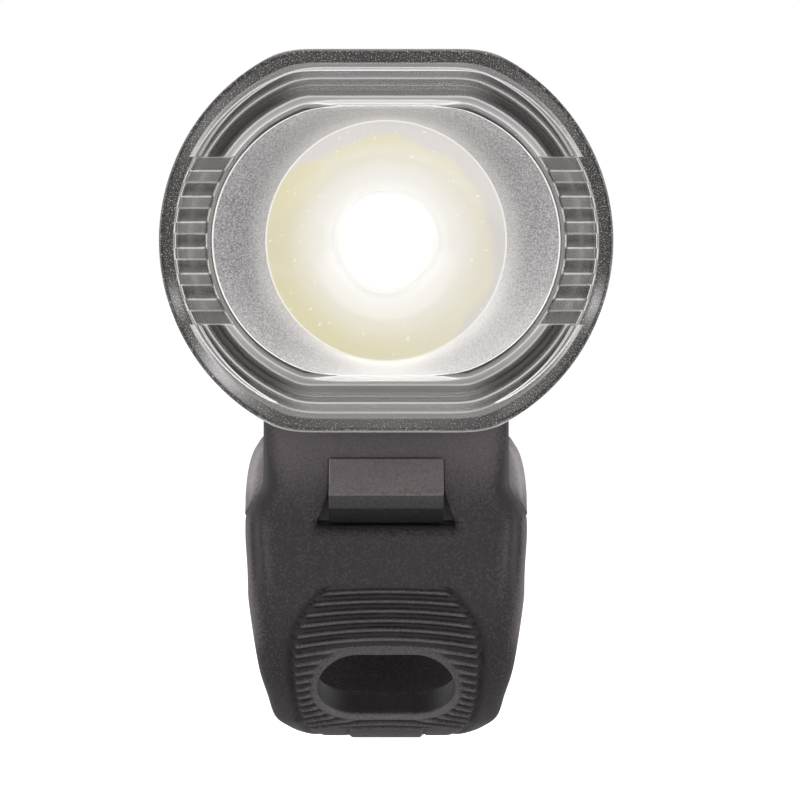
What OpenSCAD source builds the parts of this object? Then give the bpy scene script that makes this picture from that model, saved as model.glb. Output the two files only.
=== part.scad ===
// Bicycle front light with a clear-fronted head on a stretch-strap handlebar mount.
// Frame: origin on the handlebar axis, X along the bar, Y towards the rider, Z up.
// All lengths are in millimetres and all angles in degrees.

/* [Handlebar] */
// Diameter of the handlebar
bar_d = 25.4; // [24:0.1:28]
// Thickness of the rubber pad between bar and base
pad_t = 2; // [1.5:0.1:3]
// Length of the pad along the bar
pad_w = 27.4; // [24:0.2:28.6]
// Arc of the bar that the pad covers
pad_arc = 126; // [112:1:130]

/* [Head] */
// Radius of the rounded sides of the head
side_r = 21; // [20.4:0.1:26]
// Distance between the centres of the two side arcs
side_spread = 4; // [3:0.5:10]
// Height of the head across its flats
head_h = 38.8; // [37:0.1:40]
// Distance from the bar axis to the front face
front_reach = 28; // [27.5:0.5:34]
// Step from the clear cover down to the housing
housing_inset = 1.2; // [0.8:0.1:1.6]
// Wall of the housing around the battery bay
wall = 2; // [1.6:0.1:2.4]

/* [Clear cover] */
// Depth of the cover from front face to shoulder
cover_depth = 9; // [8:0.5:9.5]
// Thickness of the front plate
plate_t = 2.4; // [2:0.1:3]
// Wall of the skirt
skirt_t = 1.8; // [1.4:0.1:2.2]
// Width of the rim around the front face
rim_w = 2; // [1.6:0.1:2.6]
// Depth of the channel inside the rim
channel_depth = 0.8; // [0.5:0.1:1.2]
// Distance from the outer edge to the raised window
window_inset = 5.1; // [4.4:0.1:5.6]
// Number of ribs in each side window
rib_count = 6; // [4:1:7]
// Spacing of the ribs
rib_pitch = 2.6; // [2:0.1:2.8]
// Height of one rib
rib_t = 1.15; // [0.8:0.05:1.5]

/* [Optics] */
// Distance from the side of the head to the optics pocket
pocket_inset = 5.6; // [5:0.1:6.2]
// Thickness of the reflector plate
reflector_t = 2.5; // [2:0.1:3]
// Radius of the collimator flange
flange_r = 12.6; // [11.6:0.1:12.8]
// Thickness of the collimator flange
flange_t = 1.6; // [1.2:0.1:2]
// Depth of the collimator from flange face to neck
lens_depth = 11.2; // [10.4:0.1:12.4]
// Radius of the collimator neck
lens_neck_r = 4.6; // [4.2:0.1:5.2]
// Wall of the lens holder
holder_wall = 1.1; // [0.8:0.1:1.5]
// Side of the square emitter
led_w = 3.5; // [3:0.1:3.8]
// Thickness of the emitter board
led_board_t = 1.6; // [1:0.1:2]
// Thickness of the heat sink
sink_t = 3.2; // [2.4:0.1:4]
// Thickness of the bulkhead behind the heat sink
bulkhead_t = 2; // [1.8:0.1:2.6]

/* [Battery and board] */
// Diameter of the cell
cell_d = 18.3; // [16:0.1:18.6]
// Length of the cell
cell_len = 35; // [33:0.5:50]
// Thickness of the foam under the cell
foam_t = 1.5; // [1:0.1:1.8]
// Thickness of the cell's contact tabs
tab_t = 0.3; // [0.2:0.05:0.5]
// Thickness of the foam behind the cell
end_pad_t = 2; // [1.6:0.1:2.6]
// Width of the circuit board
board_w = 18.8; // [17:0.2:19.4]
// Thickness of the circuit board
board_t = 1.2; // [0.8:0.1:1.6]
// Height from board to the roof of the battery bay
board_drop = 7.4; // [7:0.1:7.8]

/* [Rear cover] */
// Thickness of the sealing ring
gasket_t = 0.8; // [0.5:0.1:1.2]
// Depth of the rear cover
rear_depth = 8.5; // [8:0.1:10]
// Wall of the rear cover
rear_wall = 2.6; // [2.4:0.1:3]
// Rounding of the rear edge
rear_round = 2.2; // [1.5:0.1:2.4]
// Width of the charging flap
flap_w = 15; // [13:0.2:16]
// Height of the charging flap
flap_h = 8.4; // [7.6:0.1:8.8]
// Thickness of the charging flap
flap_t = 1.7; // [1.4:0.1:1.8]

/* [Button] */
// Width of the power button
button_w = 8.6; // [7:0.1:9]
// Length of the power button
button_len = 15; // [12:0.1:16]
// Distance from the bar axis back to the button
button_y = 10; // [9:0.5:12]
// Travel of the power button
button_travel = 0.6; // [0.4:0.1:0.7]

/* [Mount base] */
// Thickness of the base over the saddle
base_t = 3.3; // [3:0.1:5]
// Width of the saddle along the bar
saddle_w = 29.4; // [28.8:0.2:34]
// Width of the stem under the head
stem_w = 24; // [23.4:0.2:26]
// Radius of the shoulders
shoulder_r = 3.2; // [3:0.1:5]
// Width of the hook lug
lug_w = 11.8; // [10:0.1:12.6]

/* [Strap] */
// Play between bar and strap
strap_slack = 0.7; // [0.5:0.1:1.2]
// Thickness of the strap
strap_t = 3; // [2.6:0.1:3.6]
// Greatest width of the strap
strap_w = 28.6; // [27.6:0.2:30]
// Width of the strap's neck
neck_w = 25.4; // [24:0.2:27]
// Width of the strap under the bar
tail_w = 14.4; // [12:0.2:15]
// Length of the finger hole along the bar
hole_w = 14.4; // [12:0.2:15]
// Height of the finger hole along the strap
hole_h = 8.6; // [8.4:0.1:9.4]
// Angle of the finger hole below the front
hole_angle = 37.5; // [35:0.5:40]
// Number of grip rows on the strap
grip_rows = 16; // [8:1:16]
// Height of a grip row
grip_h = 0.45; // [0.3:0.05:0.6]
// Radius of the strap pin
pin_r = 1.25; // [1:0.05:1.5]

/* [Fasteners] */
// Radius of a screw shank
screw_r = 1; // [0.9:0.05:1.1]
// Radius of a screw head
screw_head_r = 1.9; // [1.7:0.05:2]
// Thickness of a screw head
screw_head_h = 1.5; // [1.2:0.1:1.6]

/* [Hidden] */
$fn = 96;

// Clearances
seat_gap = 0.05;
fit = 0.2;
run_gap = 0.3;
over = 1;
skin = 0.01;

// Handlebar, saddle and head height
bar_r = bar_d / 2;
saddle_r = bar_r + pad_t;
base_top = saddle_r + base_t;
head_z = base_top + head_h / 2 - housing_inset;
head_w = 2 * side_r + side_spread;
corner_rise = max(0, head_h / 2 - side_r);

// Stations along Y, from the front face to the rear
front_y = -front_reach;
plate_back = front_y + plate_t;
shoulder_y = front_y + cover_depth;
nose_y = plate_back + fit;
reflector_y = plate_back + fit;
flange_y = reflector_y + reflector_t + seat_gap;
holder_y = flange_y + flange_t + seat_gap;
lens_end = flange_y + lens_depth;
led_board_y = lens_end + fit;
sink_y = led_board_y + led_board_t + seat_gap;
bulk_y = sink_y + sink_t;
bay_y = bulk_y + bulkhead_t;
cell_y = bay_y + tab_t;
cell_end = cell_y + cell_len;
pad_end_y = cell_end + tab_t + end_pad_t;
bay_margin = 0.9;
body_end = cell_end + tab_t + bay_margin;
rear_y = body_end + gasket_t;
rear_end = rear_y + rear_depth;
rear_in = rear_end - rear_wall;
round_steps = 4;
round_slice = 0.1;

// Housing outline steps, as distances in from the edge of the cover
nose_inset = skirt_t + fit;
bay_inset = housing_inset + wall;
rear_bay_inset = housing_inset + rear_wall;
side_window = 17;
side_window_depth = 4.4;

// Heights of the housing measured from the optical axis
body_top = head_h / 2 - housing_inset;
bay_top = head_h / 2 - bay_inset;

// Optics radii and the pocket around them
holder_r = flange_r + 2 * fit;
holder_in = holder_r - holder_wall;
lens_r = holder_in - fit;
aperture_r = flange_r - 2.5 * fit;
pocket_half_h = holder_r + 4 * fit;
lens_well_wall = 1.4;
lens_well_r = lens_neck_r - lens_well_wall;
lens_well_depth = 3.4;
lens_wall_steps = 10;
led_base_t = 0.7;
led_dome_r = 0.4 * led_w;
led_screw_x = holder_in - screw_head_r - 3 * fit;
led_screw_head_h = 1.2;

// Length of the charging socket and its rear face
usb_len = 7.1;
usb_end = rear_in - seat_gap;

// Battery, board and switch, with heights from the optical axis
cell_r = cell_d / 2;
cell_z = -bay_top + foam_t + cell_r;
foam_w = 10.4;
foam_len = 6;
foam_inset = 3;
tab_w = 6;
board_top = bay_top - board_drop;
board_z = board_top - board_t;
board_y = bay_y - 1;
board_setback = 1.1;
board_end = usb_end - board_setback;
indicator = [1.6, 1, 0.7];
chip = [5, 5, 0.9];
choke = [4, 4, 1.8];
chip_y = usb_end - usb_len - seat_gap - chip[1] / 2;
board_boss_r = 2.2;
board_boss_inset = 4;
board_boss_x = board_w / 2 - board_boss_r;
board_boss_y = [bay_y + board_boss_inset, chip_y - chip[1]];
board_screw_h = 1.2;
lead_x = 2;
lead_r = 0.6;
lead_z = board_z + board_t / 2;
led_lead_y = led_board_y + led_board_t;
switch_w = 6;
switch_h = 3.5;
plunger_r = 1.7;
plunger_rise = 0.8;
plunger_depth = 0.7;
switch_top = board_top + switch_h;
plunger_top = switch_top + plunger_rise;

// Power button on top of the housing
button_proud = housing_inset;
button_lip = 1.2;
button_lip_t = 1;
button_gap = 0.25;
button_stem_r = 2;
lip_top = bay_top - 0.75 * fit;

// Light pipe behind the button
pipe_r = 1.5;
pipe_lip_r = 2.3;
pipe_lip_t = 0.9;
pipe_gap = 3.5;
pipe_y = button_y + button_len / 2 + pipe_gap;

// Charging socket and flap
usb_w = 9;
usb_h = 3.2;
usb_wall = 0.35;
usb_z = board_top + usb_h / 2;
flap_gap = 0.3;
recess_depth = flap_t + flap_gap;
flap_end = rear_end - seat_gap;
flap_y = flap_end - flap_t;
flap_z = usb_z - flap_h / 2;
plug_w = usb_w - fit;
plug_h = usb_h;
plug_len = 0.75;
port_w = usb_w + 3 * fit;
port_h = usb_h + 3.5 * fit;

// Screws
screw_hole_r = screw_r + seat_gap;
screw_clear_r = screw_r + fit;
screw_sink_r = screw_head_r + fit;
boss_r = 3;
boss_overlap = 0.3;
rear_boss_len = 9;
rear_grip = 7;
rear_boss_reach = side_r - bay_inset - boss_r + boss_overlap;
rear_screw_x = side_spread / 2 + rear_boss_reach * cos(45);
rear_screw_z = corner_rise + rear_boss_reach * sin(45);
rear_seat_y = rear_end - screw_head_h - 2 * fit;
screw_land = 1.1;
base_screw_x = stem_w / 2 - screw_head_r - screw_land;
base_boss_r = 2.4;
base_boss_rise = 2.2;
base_rear_y = 8;
base_screw_y = [bulk_y + base_boss_r + fit, base_rear_y];
base_seat_z = saddle_r + run_gap + screw_head_h;
base_grip = wall + base_boss_rise - 2 * fit;

// Strap, hook lug and anchor eye
strap_ri = bar_r + strap_slack;
strap_ro = strap_ri + strap_t;
base_face = strap_ri - run_gap;
neck_drop = 1.1;
foot_drop = 10.8;
shoulder_drop = 2.6;
lug_top_drop = 4.65;
neck_top = base_top - neck_drop;
foot_z = base_top - foot_drop;
shoulder_z = base_top - shoulder_drop;
lug_top = base_top - lug_top_drop;
lug_seat = run_gap + strap_t + fit / 2;
neck_flare_drop = 2.85;
neck_flare_h = 4.5;
lug_nose = 2.6;
lug_drop = 0.95;
lug_h = 6.35;
slot_gap = 0.45;
slot_flare = 1.2;
split_angle = 65;
split_margin = 15;
side_draw = 3.1;
toe_start_angle = 45;
toe_arc = 45;
outline_steps = 24;
eye_wall = 1.6;
eye_bore_r = pin_r + seat_gap;
eye_r = eye_bore_r + eye_wall;
eye_y = base_face + run_gap + eye_r;
eye_drop = 7.5;
eye_z = base_top - eye_drop;
ear_x = tail_w / 2 + fit;
ear_t = 3;
ear_wall = 1.9;
ear_r = pin_r + ear_wall;
pin_len = 2 * (ear_x + ear_t - fit);

// Grip panel on the strap
grip_start_angle = 3;
grip_end_angle = 62;
grip_top_w = 13.4;
grip_mid_w = 19.4;
grip_low_w = 16.6;
grip_mid_angle = 21;
grip_duty = 0.5;
rim_wide = 0.75;

// Smooth step from 0 to 1
function ease(t) = let (u = max(0, min(1, t))) u * u * (3 - 2 * u);

// Half width of the strap at an angle below the front
function strap_half(a) = strap_w / 2 - side_draw * a / 90
  - (strap_w / 2 - side_draw - tail_w / 2) * ease((a - toe_start_angle) / toe_arc);

// Half width of the strap's neck at a height above the bar axis
function neck_half(z) = neck_w / 2
  + (strap_w - neck_w) / 2 * ease((lug_top - neck_flare_drop - z) / neck_flare_h);

// Half width of the grip panel at an angle below the front
function grip_half(a) = a < grip_mid_angle
  ? (grip_top_w + (grip_mid_w - grip_top_w) * ease(a / grip_mid_angle)) / 2
  : (grip_mid_w + (grip_low_w - grip_mid_w) * (a - grip_mid_angle) / (grip_end_angle - grip_mid_angle)) / 2;

// Radius of the collimator's curved wall, from flange (0) to neck (1)
function lens_wall(t) = lens_neck_r + (lens_r - lens_neck_r) * pow(1 - t, 0.62);

// Outline of the head, drawn in by an inset: two side arcs cut by flats, or round corners on a taller head
module head_outline(inset, half_h = head_h / 2) {
  hh = half_h - inset;
  r = side_r - inset;
  rise = max(0, hh - r);
  intersection() {
    union() {
      for (sx = [-1, 1], sz = rise > 0 ? [-1, 1] : [0])
        translate([sx * side_spread / 2, sz * rise]) circle(r);
      square([side_spread, 2 * hh], center = true);
      if (rise > 0) square([side_spread + 2 * r, 2 * rise], center = true);
    }
    square([2 * head_w, 2 * hh], center = true);
  }
}

// Outline of the pocket that holds the optics, drawn in by a gap
module pocket_outline(gap) {
  head_outline(pocket_inset + gap, pocket_inset + pocket_half_h);
}

// Stretches an outline drawn on the optical axis from y0 back to y1
module along_y(y0, y1) {
  translate([0, y1, head_z]) rotate([90, 0, 0]) linear_extrude(y1 - y0) children();
}

// Stretches a side profile, drawn as (Y, Z), across the bar
module across_x(w) {
  translate([-w / 2, 0, 0]) rotate([90, 0, 90]) linear_extrude(w) children();
}

// Round bar along Y, placed from the optical axis
module rod_y(x, z, y0, y1, ra, rb) {
  translate([x, y0, head_z + z]) rotate([-90, 0, 0]) cylinder(h = y1 - y0, r1 = ra, r2 = rb);
}

// Round bar along Z, with heights from the optical axis
module rod_z(x, y, z0, z1, r) {
  translate([x, y, head_z + z0]) cylinder(h = z1 - z0, r = r);
}

// Block given by its X width, Y stations and heights from the optical axis
module block(w, y0, y1, z0, z1) {
  translate([-w / 2, y0, head_z + z0]) cube([w, y1 - y0, z1 - z0]);
}

// Outline with round ends, length along the second axis
module stadium(w, len) {
  square([w, len - w], center = true);
  for (s = [-1, 1]) translate([0, s * (len - w) / 2]) circle(w / 2);
}

// Part of a ring around the bar, between two angles below the front
module ring_sector(r0, r1, w, a0, a1) {
  rotate([90, 0, 90]) rotate([0, 0, 180 + a0])
    rotate_extrude(angle = a1 - a0) translate([r0, -w / 2]) square([r1 - r0, w]);
}

// Screw pointing along +Z with its head below the seat
module screw(len, head_h) {
  difference() {
    translate([0, 0, -head_h]) cylinder(h = head_h, r = screw_head_r);
    translate([0, 0, -head_h - over]) cylinder(h = over + head_h / 2, r = screw_r, $fn = 6);
  }
  cylinder(h = len, r = screw_r);
}

// Repeats a shape at the four rear screws
module at_rear_screws() {
  for (sx = [-1, 1], sz = [-1, 1]) translate([sx * rear_screw_x, 0, sz * rear_screw_z]) children();
}

// Repeats a shape at the four base screws
module at_base_screws() {
  for (sx = [-1, 1], y = base_screw_y) translate([sx * base_screw_x, y, 0]) children();
}

// Repeats a shape at the four board bosses
module at_board_bosses() {
  for (sx = [-1, 1], y = board_boss_y) translate([sx * board_boss_x, y, 0]) children();
}

// Clear moulded front: rim, channel with side ribs, raised window and skirt
module lens_cover() {
  color("lightgray") difference() {
    along_y(front_y, shoulder_y) head_outline(0);
    along_y(plate_back, shoulder_y + over) head_outline(skirt_t);
    along_y(front_y - over, front_y + channel_depth / 4) cover_channel();
    along_y(front_y - over, front_y + channel_depth) difference() {
      cover_channel();
      for (i = [0 : rib_count - 1])
        translate([0, (i - (rib_count - 1) / 2) * rib_pitch]) square([2 * head_w, rib_t], center = true);
    }
  }
}

module cover_channel() {
  difference() {
    head_outline(rim_w);
    head_outline(window_inset);
  }
}

// Metallised plate around the collimator
module reflector_plate() {
  color("silver") difference() {
    along_y(reflector_y, reflector_y + reflector_t) pocket_outline(fit);
    rod_y(0, 0, reflector_y - skin, reflector_y + reflector_t + skin, aperture_r + 4 * fit, aperture_r);
  }
}

// Solid clear collimator with a flange and a well for the emitter
module collimator_lens() {
  wall_points = [for (i = [0 : lens_wall_steps])
    [lens_wall(i / lens_wall_steps), flange_t + (lens_depth - flange_t) * i / lens_wall_steps]];
  color("ivory") translate([0, flange_y, head_z]) rotate([-90, 0, 0]) rotate_extrude()
    polygon(concat(
      [[0, 0], [flange_r, 0], [flange_r, flange_t]],
      wall_points,
      [[lens_well_r, lens_depth], [lens_well_r, lens_depth - lens_well_depth],
       [0, lens_depth - lens_well_depth]]));
}

// Tube that carries the collimator on the emitter board
module lens_holder() {
  color("dimgray") difference() {
    rod_y(0, 0, holder_y, led_board_y - seat_gap, holder_r, holder_r);
    rod_y(0, 0, holder_y - over, led_board_y + over, holder_in, holder_in);
  }
}

// Square emitter with its dome
module led_emitter() {
  color("khaki") union() {
    block(led_w, led_board_y - led_base_t, led_board_y, -led_w / 2, led_w / 2);
    intersection() {
      translate([0, led_board_y - led_base_t, head_z]) sphere(led_dome_r);
      block(led_w, led_board_y - led_w, led_board_y - led_base_t / 2, -led_w / 2, led_w / 2);
    }
  }
}

// Metal-core board under the emitter
module led_board() {
  color("white") difference() {
    rod_y(0, 0, led_board_y, led_board_y + led_board_t, holder_r, holder_r);
    for (s = [-1, 1])
      rod_y(s * led_screw_x, 0, led_board_y - over, led_board_y + led_board_t + over,
        screw_clear_r, screw_clear_r);
  }
}

// Two screws that press the emitter board on the heat sink
module led_board_screws() {
  color("silver") for (s = [-1, 1])
    translate([s * led_screw_x, led_board_y, head_z]) rotate([-90, 0, 0])
      screw(led_board_t + sink_t, led_screw_head_h);
}

// Aluminium plate that takes the heat to the housing
module heat_sink() {
  color("darkgray") difference() {
    along_y(sink_y, bulk_y) pocket_outline(fit);
    for (s = [-1, 1]) {
      rod_y(s * led_screw_x, 0, sink_y - over, bulk_y + over, screw_hole_r, screw_hole_r);
      rod_y(s * lead_x, lead_z, sink_y - over, bulk_y + over, 2 * lead_r, 2 * lead_r);
    }
  }
}

// Two insulated leads from emitter board to circuit board
module led_leads() {
  color("crimson") for (s = [-1, 1]) rod_y(s * lead_x, lead_z, led_lead_y, board_y, lead_r, lead_r);
}

// Dark moulded body: nose, bulkhead, battery bay and screw bosses
module main_housing() {
  color("dimgray") difference() {
    union() {
      difference() {
        union() {
          along_y(shoulder_y, body_end) head_outline(housing_inset);
          along_y(nose_y, shoulder_y + over) head_outline(nose_inset);
        }
        along_y(nose_y - over, bulk_y) pocket_outline(0);
        along_y(bay_y, body_end + over) head_outline(bay_inset);
      }
      housing_bosses();
    }
    housing_holes();
  }
}

module housing_bosses() {
  at_rear_screws() rod_y(0, 0, body_end - rear_boss_len, body_end, boss_r, boss_r);
  at_board_bosses() rod_z(0, 0, board_top, bay_top + wall / 2, board_boss_r);
  at_base_screws() rod_z(0, 0, -bay_top - wall / 2, -bay_top + base_boss_rise, base_boss_r);
}

module housing_holes() {
  at_rear_screws() rod_y(0, 0, body_end - rear_grip - fit, body_end + over, screw_hole_r, screw_hole_r);
  at_board_bosses() rod_z(0, 0, board_top - over, bay_top - 2 * fit, screw_hole_r);
  at_base_screws() rod_z(0, 0, -body_top - over, -body_top + base_grip + fit, screw_hole_r);
  translate([0, button_y, head_z + bay_top - over]) linear_extrude(wall + 2 * over)
    stadium(button_w + 2 * button_gap, button_len + 2 * button_gap);
  rod_z(0, pipe_y, bay_top - over, body_top + over, pipe_r + seat_gap);
  for (s = [-1, 1]) rod_y(s * lead_x, lead_z, bulk_y - over, bay_y, 2 * lead_r, 2 * lead_r);
  block(board_w + 2 * fit, board_y - fit, bay_y + over, board_z - fit, board_top + fit);
  block(2 * head_w, nose_y - over, nose_y + side_window_depth, -side_window / 2, side_window / 2);
}

// Sealing ring between housing and rear cover
module rear_gasket() {
  color("black") along_y(body_end, rear_y) difference() {
    head_outline(housing_inset);
    head_outline(bay_inset);
  }
}

// Rounded rear cover with screw bosses, battery post and charging port
module rear_cover() {
  color("dimgray") difference() {
    union() {
      difference() {
        rear_shell();
        along_y(rear_y - over, rear_in) head_outline(rear_bay_inset);
      }
      at_rear_screws() rod_y(0, 0, rear_y, rear_in + skin, boss_r, boss_r);
      rod_y(0, cell_z, pad_end_y, rear_in + skin, boss_r, boss_r);
    }
    at_rear_screws() {
      rod_y(0, 0, rear_y - over, rear_end + over, screw_clear_r, screw_clear_r);
      rod_y(0, 0, rear_seat_y, rear_end + over, screw_sink_r, screw_sink_r);
    }
    block(flap_w + 2 * flap_gap, rear_end - recess_depth, rear_end + over,
      flap_z - flap_gap, flap_z + flap_h + flap_gap);
    block(port_w, rear_in - over, rear_end, usb_z - port_h / 2, usb_z + port_h / 2);
  }
}

module rear_shell() {
  hull() {
    along_y(rear_y, rear_end - rear_round) head_outline(housing_inset, $fn = 64);
    for (i = [1 : round_steps]) {
      a = 90 * i / round_steps;
      y = rear_end - rear_round * (1 - sin(a));
      along_y(y - round_slice, y) head_outline(housing_inset + rear_round * (1 - cos(a)), $fn = 64);
    }
  }
}

// Four screws that hold the rear cover
module rear_cover_screws() {
  color("silver") at_rear_screws() translate([0, rear_seat_y, head_z]) rotate([90, 0, 0])
    screw(rear_seat_y - body_end + rear_grip, screw_head_h);
}

// Rechargeable cell in its sleeve
module battery_cell() {
  color("steelblue") rod_y(0, cell_z, cell_y, cell_end, cell_r, cell_r);
}

// Two foam cradles under the cell
module battery_pads() {
  color("gray") difference() {
    intersection() {
      for (y = [cell_y + foam_inset, cell_end - foam_inset - foam_len])
        block(foam_w, y, y + foam_len, -bay_top - over, cell_z - cell_r / 2);
      along_y(bay_y, body_end) head_outline(bay_inset);
    }
    rod_y(0, cell_z, cell_y, cell_end, cell_r + seat_gap, cell_r + seat_gap);
  }
}

// Foam disc between cell and rear cover
module battery_end_pad() {
  color("gray") rod_y(0, cell_z, cell_end + tab_t, pad_end_y, 2 * boss_r, 2 * boss_r);
}

// Nickel strips from the ends of the cell up to the circuit board
module battery_tabs() {
  color("silver") for (y = [bay_y, cell_end])
    block(tab_w, y, y + tab_t, cell_z - tab_w / 2, board_z);
}

// Circuit board with its controller, choke and indicator
module control_board() {
  color("darkgreen") difference() {
    union() {
      block(board_w, board_y, board_end, board_z, board_top);
      place_part(chip, chip_y);
      place_part(choke, cell_y + choke[1]);
      place_part(indicator, pipe_y);
    }
    at_board_bosses() rod_z(0, 0, board_z - over, board_top + over, screw_clear_r);
  }
}

module place_part(size, y) {
  block(size[0], y - size[1] / 2, y + size[1] / 2, board_top - skin, board_top + size[2]);
}

// Four screws that hang the circuit board from its bosses
module control_board_screws() {
  color("silver") at_board_bosses() translate([0, 0, head_z + board_z])
    screw(bay_top - board_z - 3 * fit, board_screw_h);
}

// Body of the push switch
module switch_body() {
  color("black") difference() {
    block(switch_w, button_y - switch_w / 2, button_y + switch_w / 2, board_top, switch_top);
    rod_z(0, button_y, switch_top - plunger_depth - button_travel - fit, switch_top + over,
      plunger_r + fit);
  }
}

// Plunger of the push switch
module switch_plunger() {
  color("gainsboro") rod_z(0, button_y, switch_top - plunger_depth, plunger_top, plunger_r);
}

// Rubber power button: cap, inner lip and stem
module power_button() {
  color("slategray") union() {
    translate([0, button_y, head_z + lip_top - skin]) linear_extrude(body_top + button_proud - lip_top + skin)
      stadium(button_w, button_len);
    translate([0, button_y, head_z + lip_top - button_lip_t]) linear_extrude(button_lip_t)
      stadium(button_w + 2 * button_lip, button_len + 2 * button_lip);
    rod_z(0, button_y, plunger_top + seat_gap, lip_top - button_lip_t + skin, button_stem_r);
  }
}

// Clear pipe from the indicator to the top of the housing
module light_pipe() {
  color("white") union() {
    rod_z(0, pipe_y, board_top + indicator[2] + seat_gap, body_top, pipe_r);
    rod_z(0, pipe_y, lip_top - pipe_lip_t, lip_top, pipe_lip_r);
  }
}

// Shell of the charging socket with its contact tongue
module usb_socket() {
  color("silver") union() {
    difference() {
      usb_bar(usb_w, usb_h, usb_end - usb_len, usb_end);
      usb_bar(usb_w - 2 * usb_wall, usb_h - 2 * usb_wall, usb_end - usb_len + over, usb_end + over);
    }
    block(usb_w - 2 * usb_h, usb_end - usb_len + over - skin, usb_end - over,
      usb_z - usb_wall, usb_z + usb_wall);
  }
}

module usb_bar(w, h, y0, y1) {
  translate([0, 0, usb_z]) along_y(y0, y1) rotate([0, 0, 90]) stadium(h, w);
}

// Charging flap with its shallow plug, hinged along its lower edge
module usb_flap() {
  color("black") union() {
    block(flap_w, flap_y, flap_end, flap_z, flap_z + flap_h);
    translate([0, 0, usb_z]) along_y(flap_y - plug_len, flap_y + skin)
      rotate([0, 0, 90]) stadium(plug_h, plug_w);
  }
}

// Saddle, stem, front hook lug and rear anchor ears in one moulding
module mount_base() {
  color("darkslategray") difference() {
    union() {
      intersection() {
        across_x(2 * saddle_w) translate([-base_face, foot_z]) square([2 * base_face, base_top - foot_z]);
        translate([0, 2 * base_face, 0]) rotate([90, 0, 0]) linear_extrude(4 * base_face) base_outline();
      }
      across_x(lug_w) lug_profile();
      for (s = [-1, 1]) translate([s * (ear_x + ear_t / 2), 0, 0]) across_x(ear_t) ear_profile();
    }
    translate([-saddle_w, 0, 0]) rotate([0, 90, 0]) cylinder(h = 2 * saddle_w, r = saddle_r);
    translate([-saddle_w, eye_y, eye_z]) rotate([0, 90, 0])
      cylinder(h = 2 * saddle_w, r = pin_r + seat_gap / 2);
    at_base_screws() {
      translate([0, 0, -over]) cylinder(h = base_seat_z + over, r = screw_sink_r);
      cylinder(h = base_top + over, r = screw_clear_r);
    }
  }
}

// Front view of saddle and stem: rounded shoulders and a narrower stem
module base_outline() {
  flat = saddle_w - 2 * shoulder_r;
  translate([-saddle_w / 2, foot_z]) square([saddle_w, shoulder_z - shoulder_r - foot_z]);
  translate([-flat / 2, foot_z]) square([flat, shoulder_z - foot_z]);
  for (s = [-1, 1]) translate([s * flat / 2, shoulder_z - shoulder_r]) circle(shoulder_r);
  translate([-stem_w / 2, foot_z]) square([stem_w, base_top - foot_z]);
}

// Side view of the hook lug: a seat for the strap, then a wedge to a blunt nose
module lug_profile() {
  root = -base_face + over;
  seat = -base_face - lug_seat;
  tip = seat - lug_nose;
  polygon([
    [root, lug_top], [-base_face, lug_top], [seat, lug_top - lug_drop],
    [tip, lug_top - lug_drop - lug_nose + skin], [tip, lug_top - 0.75 * lug_h],
    [seat + lug_seat / 5, lug_top - lug_h], [root, lug_top - lug_h]
  ]);
}

// Side view of an anchor ear: a round eye on a tapered web
module ear_profile() {
  translate([eye_y, eye_z]) circle(ear_r);
  polygon([
    [base_face - over, eye_z - ear_r], [eye_y, eye_z - ear_r],
    [eye_y, eye_z + ear_r], [base_face - over, eye_z + ear_r]
  ]);
}

// Four screws from the saddle up into the housing
module base_screws() {
  color("silver") at_base_screws() translate([0, 0, base_seat_z])
    screw(base_top + base_grip - base_seat_z, screw_head_h);
}

// Rubber pad between saddle and bar
module bar_pad() {
  color("black") ring_sector(bar_r, saddle_r - seat_gap, pad_w, -90 - pad_arc / 2, -90 + pad_arc / 2);
}

// Front of the strap: hooked neck, ribbed grip and finger hole
module strap_front() {
  color("darkslategray") difference() {
    intersection() {
      union() {
        translate([-strap_w, -strap_ro, 0]) cube([2 * strap_w, strap_t, neck_top]);
        ring_sector(strap_ri, strap_ro, 2 * strap_w, 0, split_angle);
        grip_panel();
      }
      rotate([90, 0, 0]) linear_extrude(2 * strap_ro) strap_outline();
      translate([0, 0, -2 * strap_ro]) linear_extrude(4 * strap_ro) tail_outline(strap_ri, 0);
    }
    radial_stadium(hole_w, hole_h, 0, 2 * strap_ro);
    translate([0, -base_face, 0]) rotate([90, 0, 0]) linear_extrude(2 * strap_t) lug_slot();
  }
}

// Front view of the strap: eased neck, then the drawn-in sides
module strap_outline() {
  top = [for (i = [0 : outline_steps])
    let (z = neck_top * (1 - i / outline_steps)) [neck_half(z), z]];
  low = [for (i = [1 : outline_steps])
    let (a = (split_angle + split_margin) * i / outline_steps) [strap_half(a), -strap_ro * sin(a)]];
  right = concat(top, low);
  left = [for (i = [len(right) - 1 : -1 : 0]) [-right[i][0], right[i][1]]];
  polygon(concat(right, left));
}

// Slot that hooks over the lug, flared below it
module lug_slot() {
  half = lug_w / 2 + slot_gap;
  low = half + slot_flare;
  polygon([
    [-half, lug_top + slot_gap], [half, lug_top + slot_gap], [half, lug_top - lug_h / 2],
    [low, lug_top - lug_h - slot_gap], [-low, lug_top - lug_h - slot_gap], [-half, lug_top - lug_h / 2]
  ]);
}

// Raised rows across the strap, rooted in it, with a rim around the finger hole
module grip_panel() {
  pitch = (grip_end_angle - grip_start_angle) / grip_rows;
  root = strap_ro - grip_h;
  crest = strap_ro + grip_h;
  difference() {
    for (i = [0 : grip_rows - 1]) {
      a = grip_start_angle + i * pitch;
      ring_sector(root, crest, 2 * grip_half(a), a, a + grip_duty * pitch);
    }
    radial_stadium(hole_w + 2 * rim_wide + fit, hole_h + 2 * rim_wide + fit, strap_ri, 2 * strap_ro);
  }
  intersection() {
    ring_sector(root, crest, 2 * hole_w, 0, split_angle);
    radial_stadium(hole_w + 2 * rim_wide, hole_h + 2 * rim_wide, strap_ri, 2 * strap_ro);
  }
}

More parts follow.
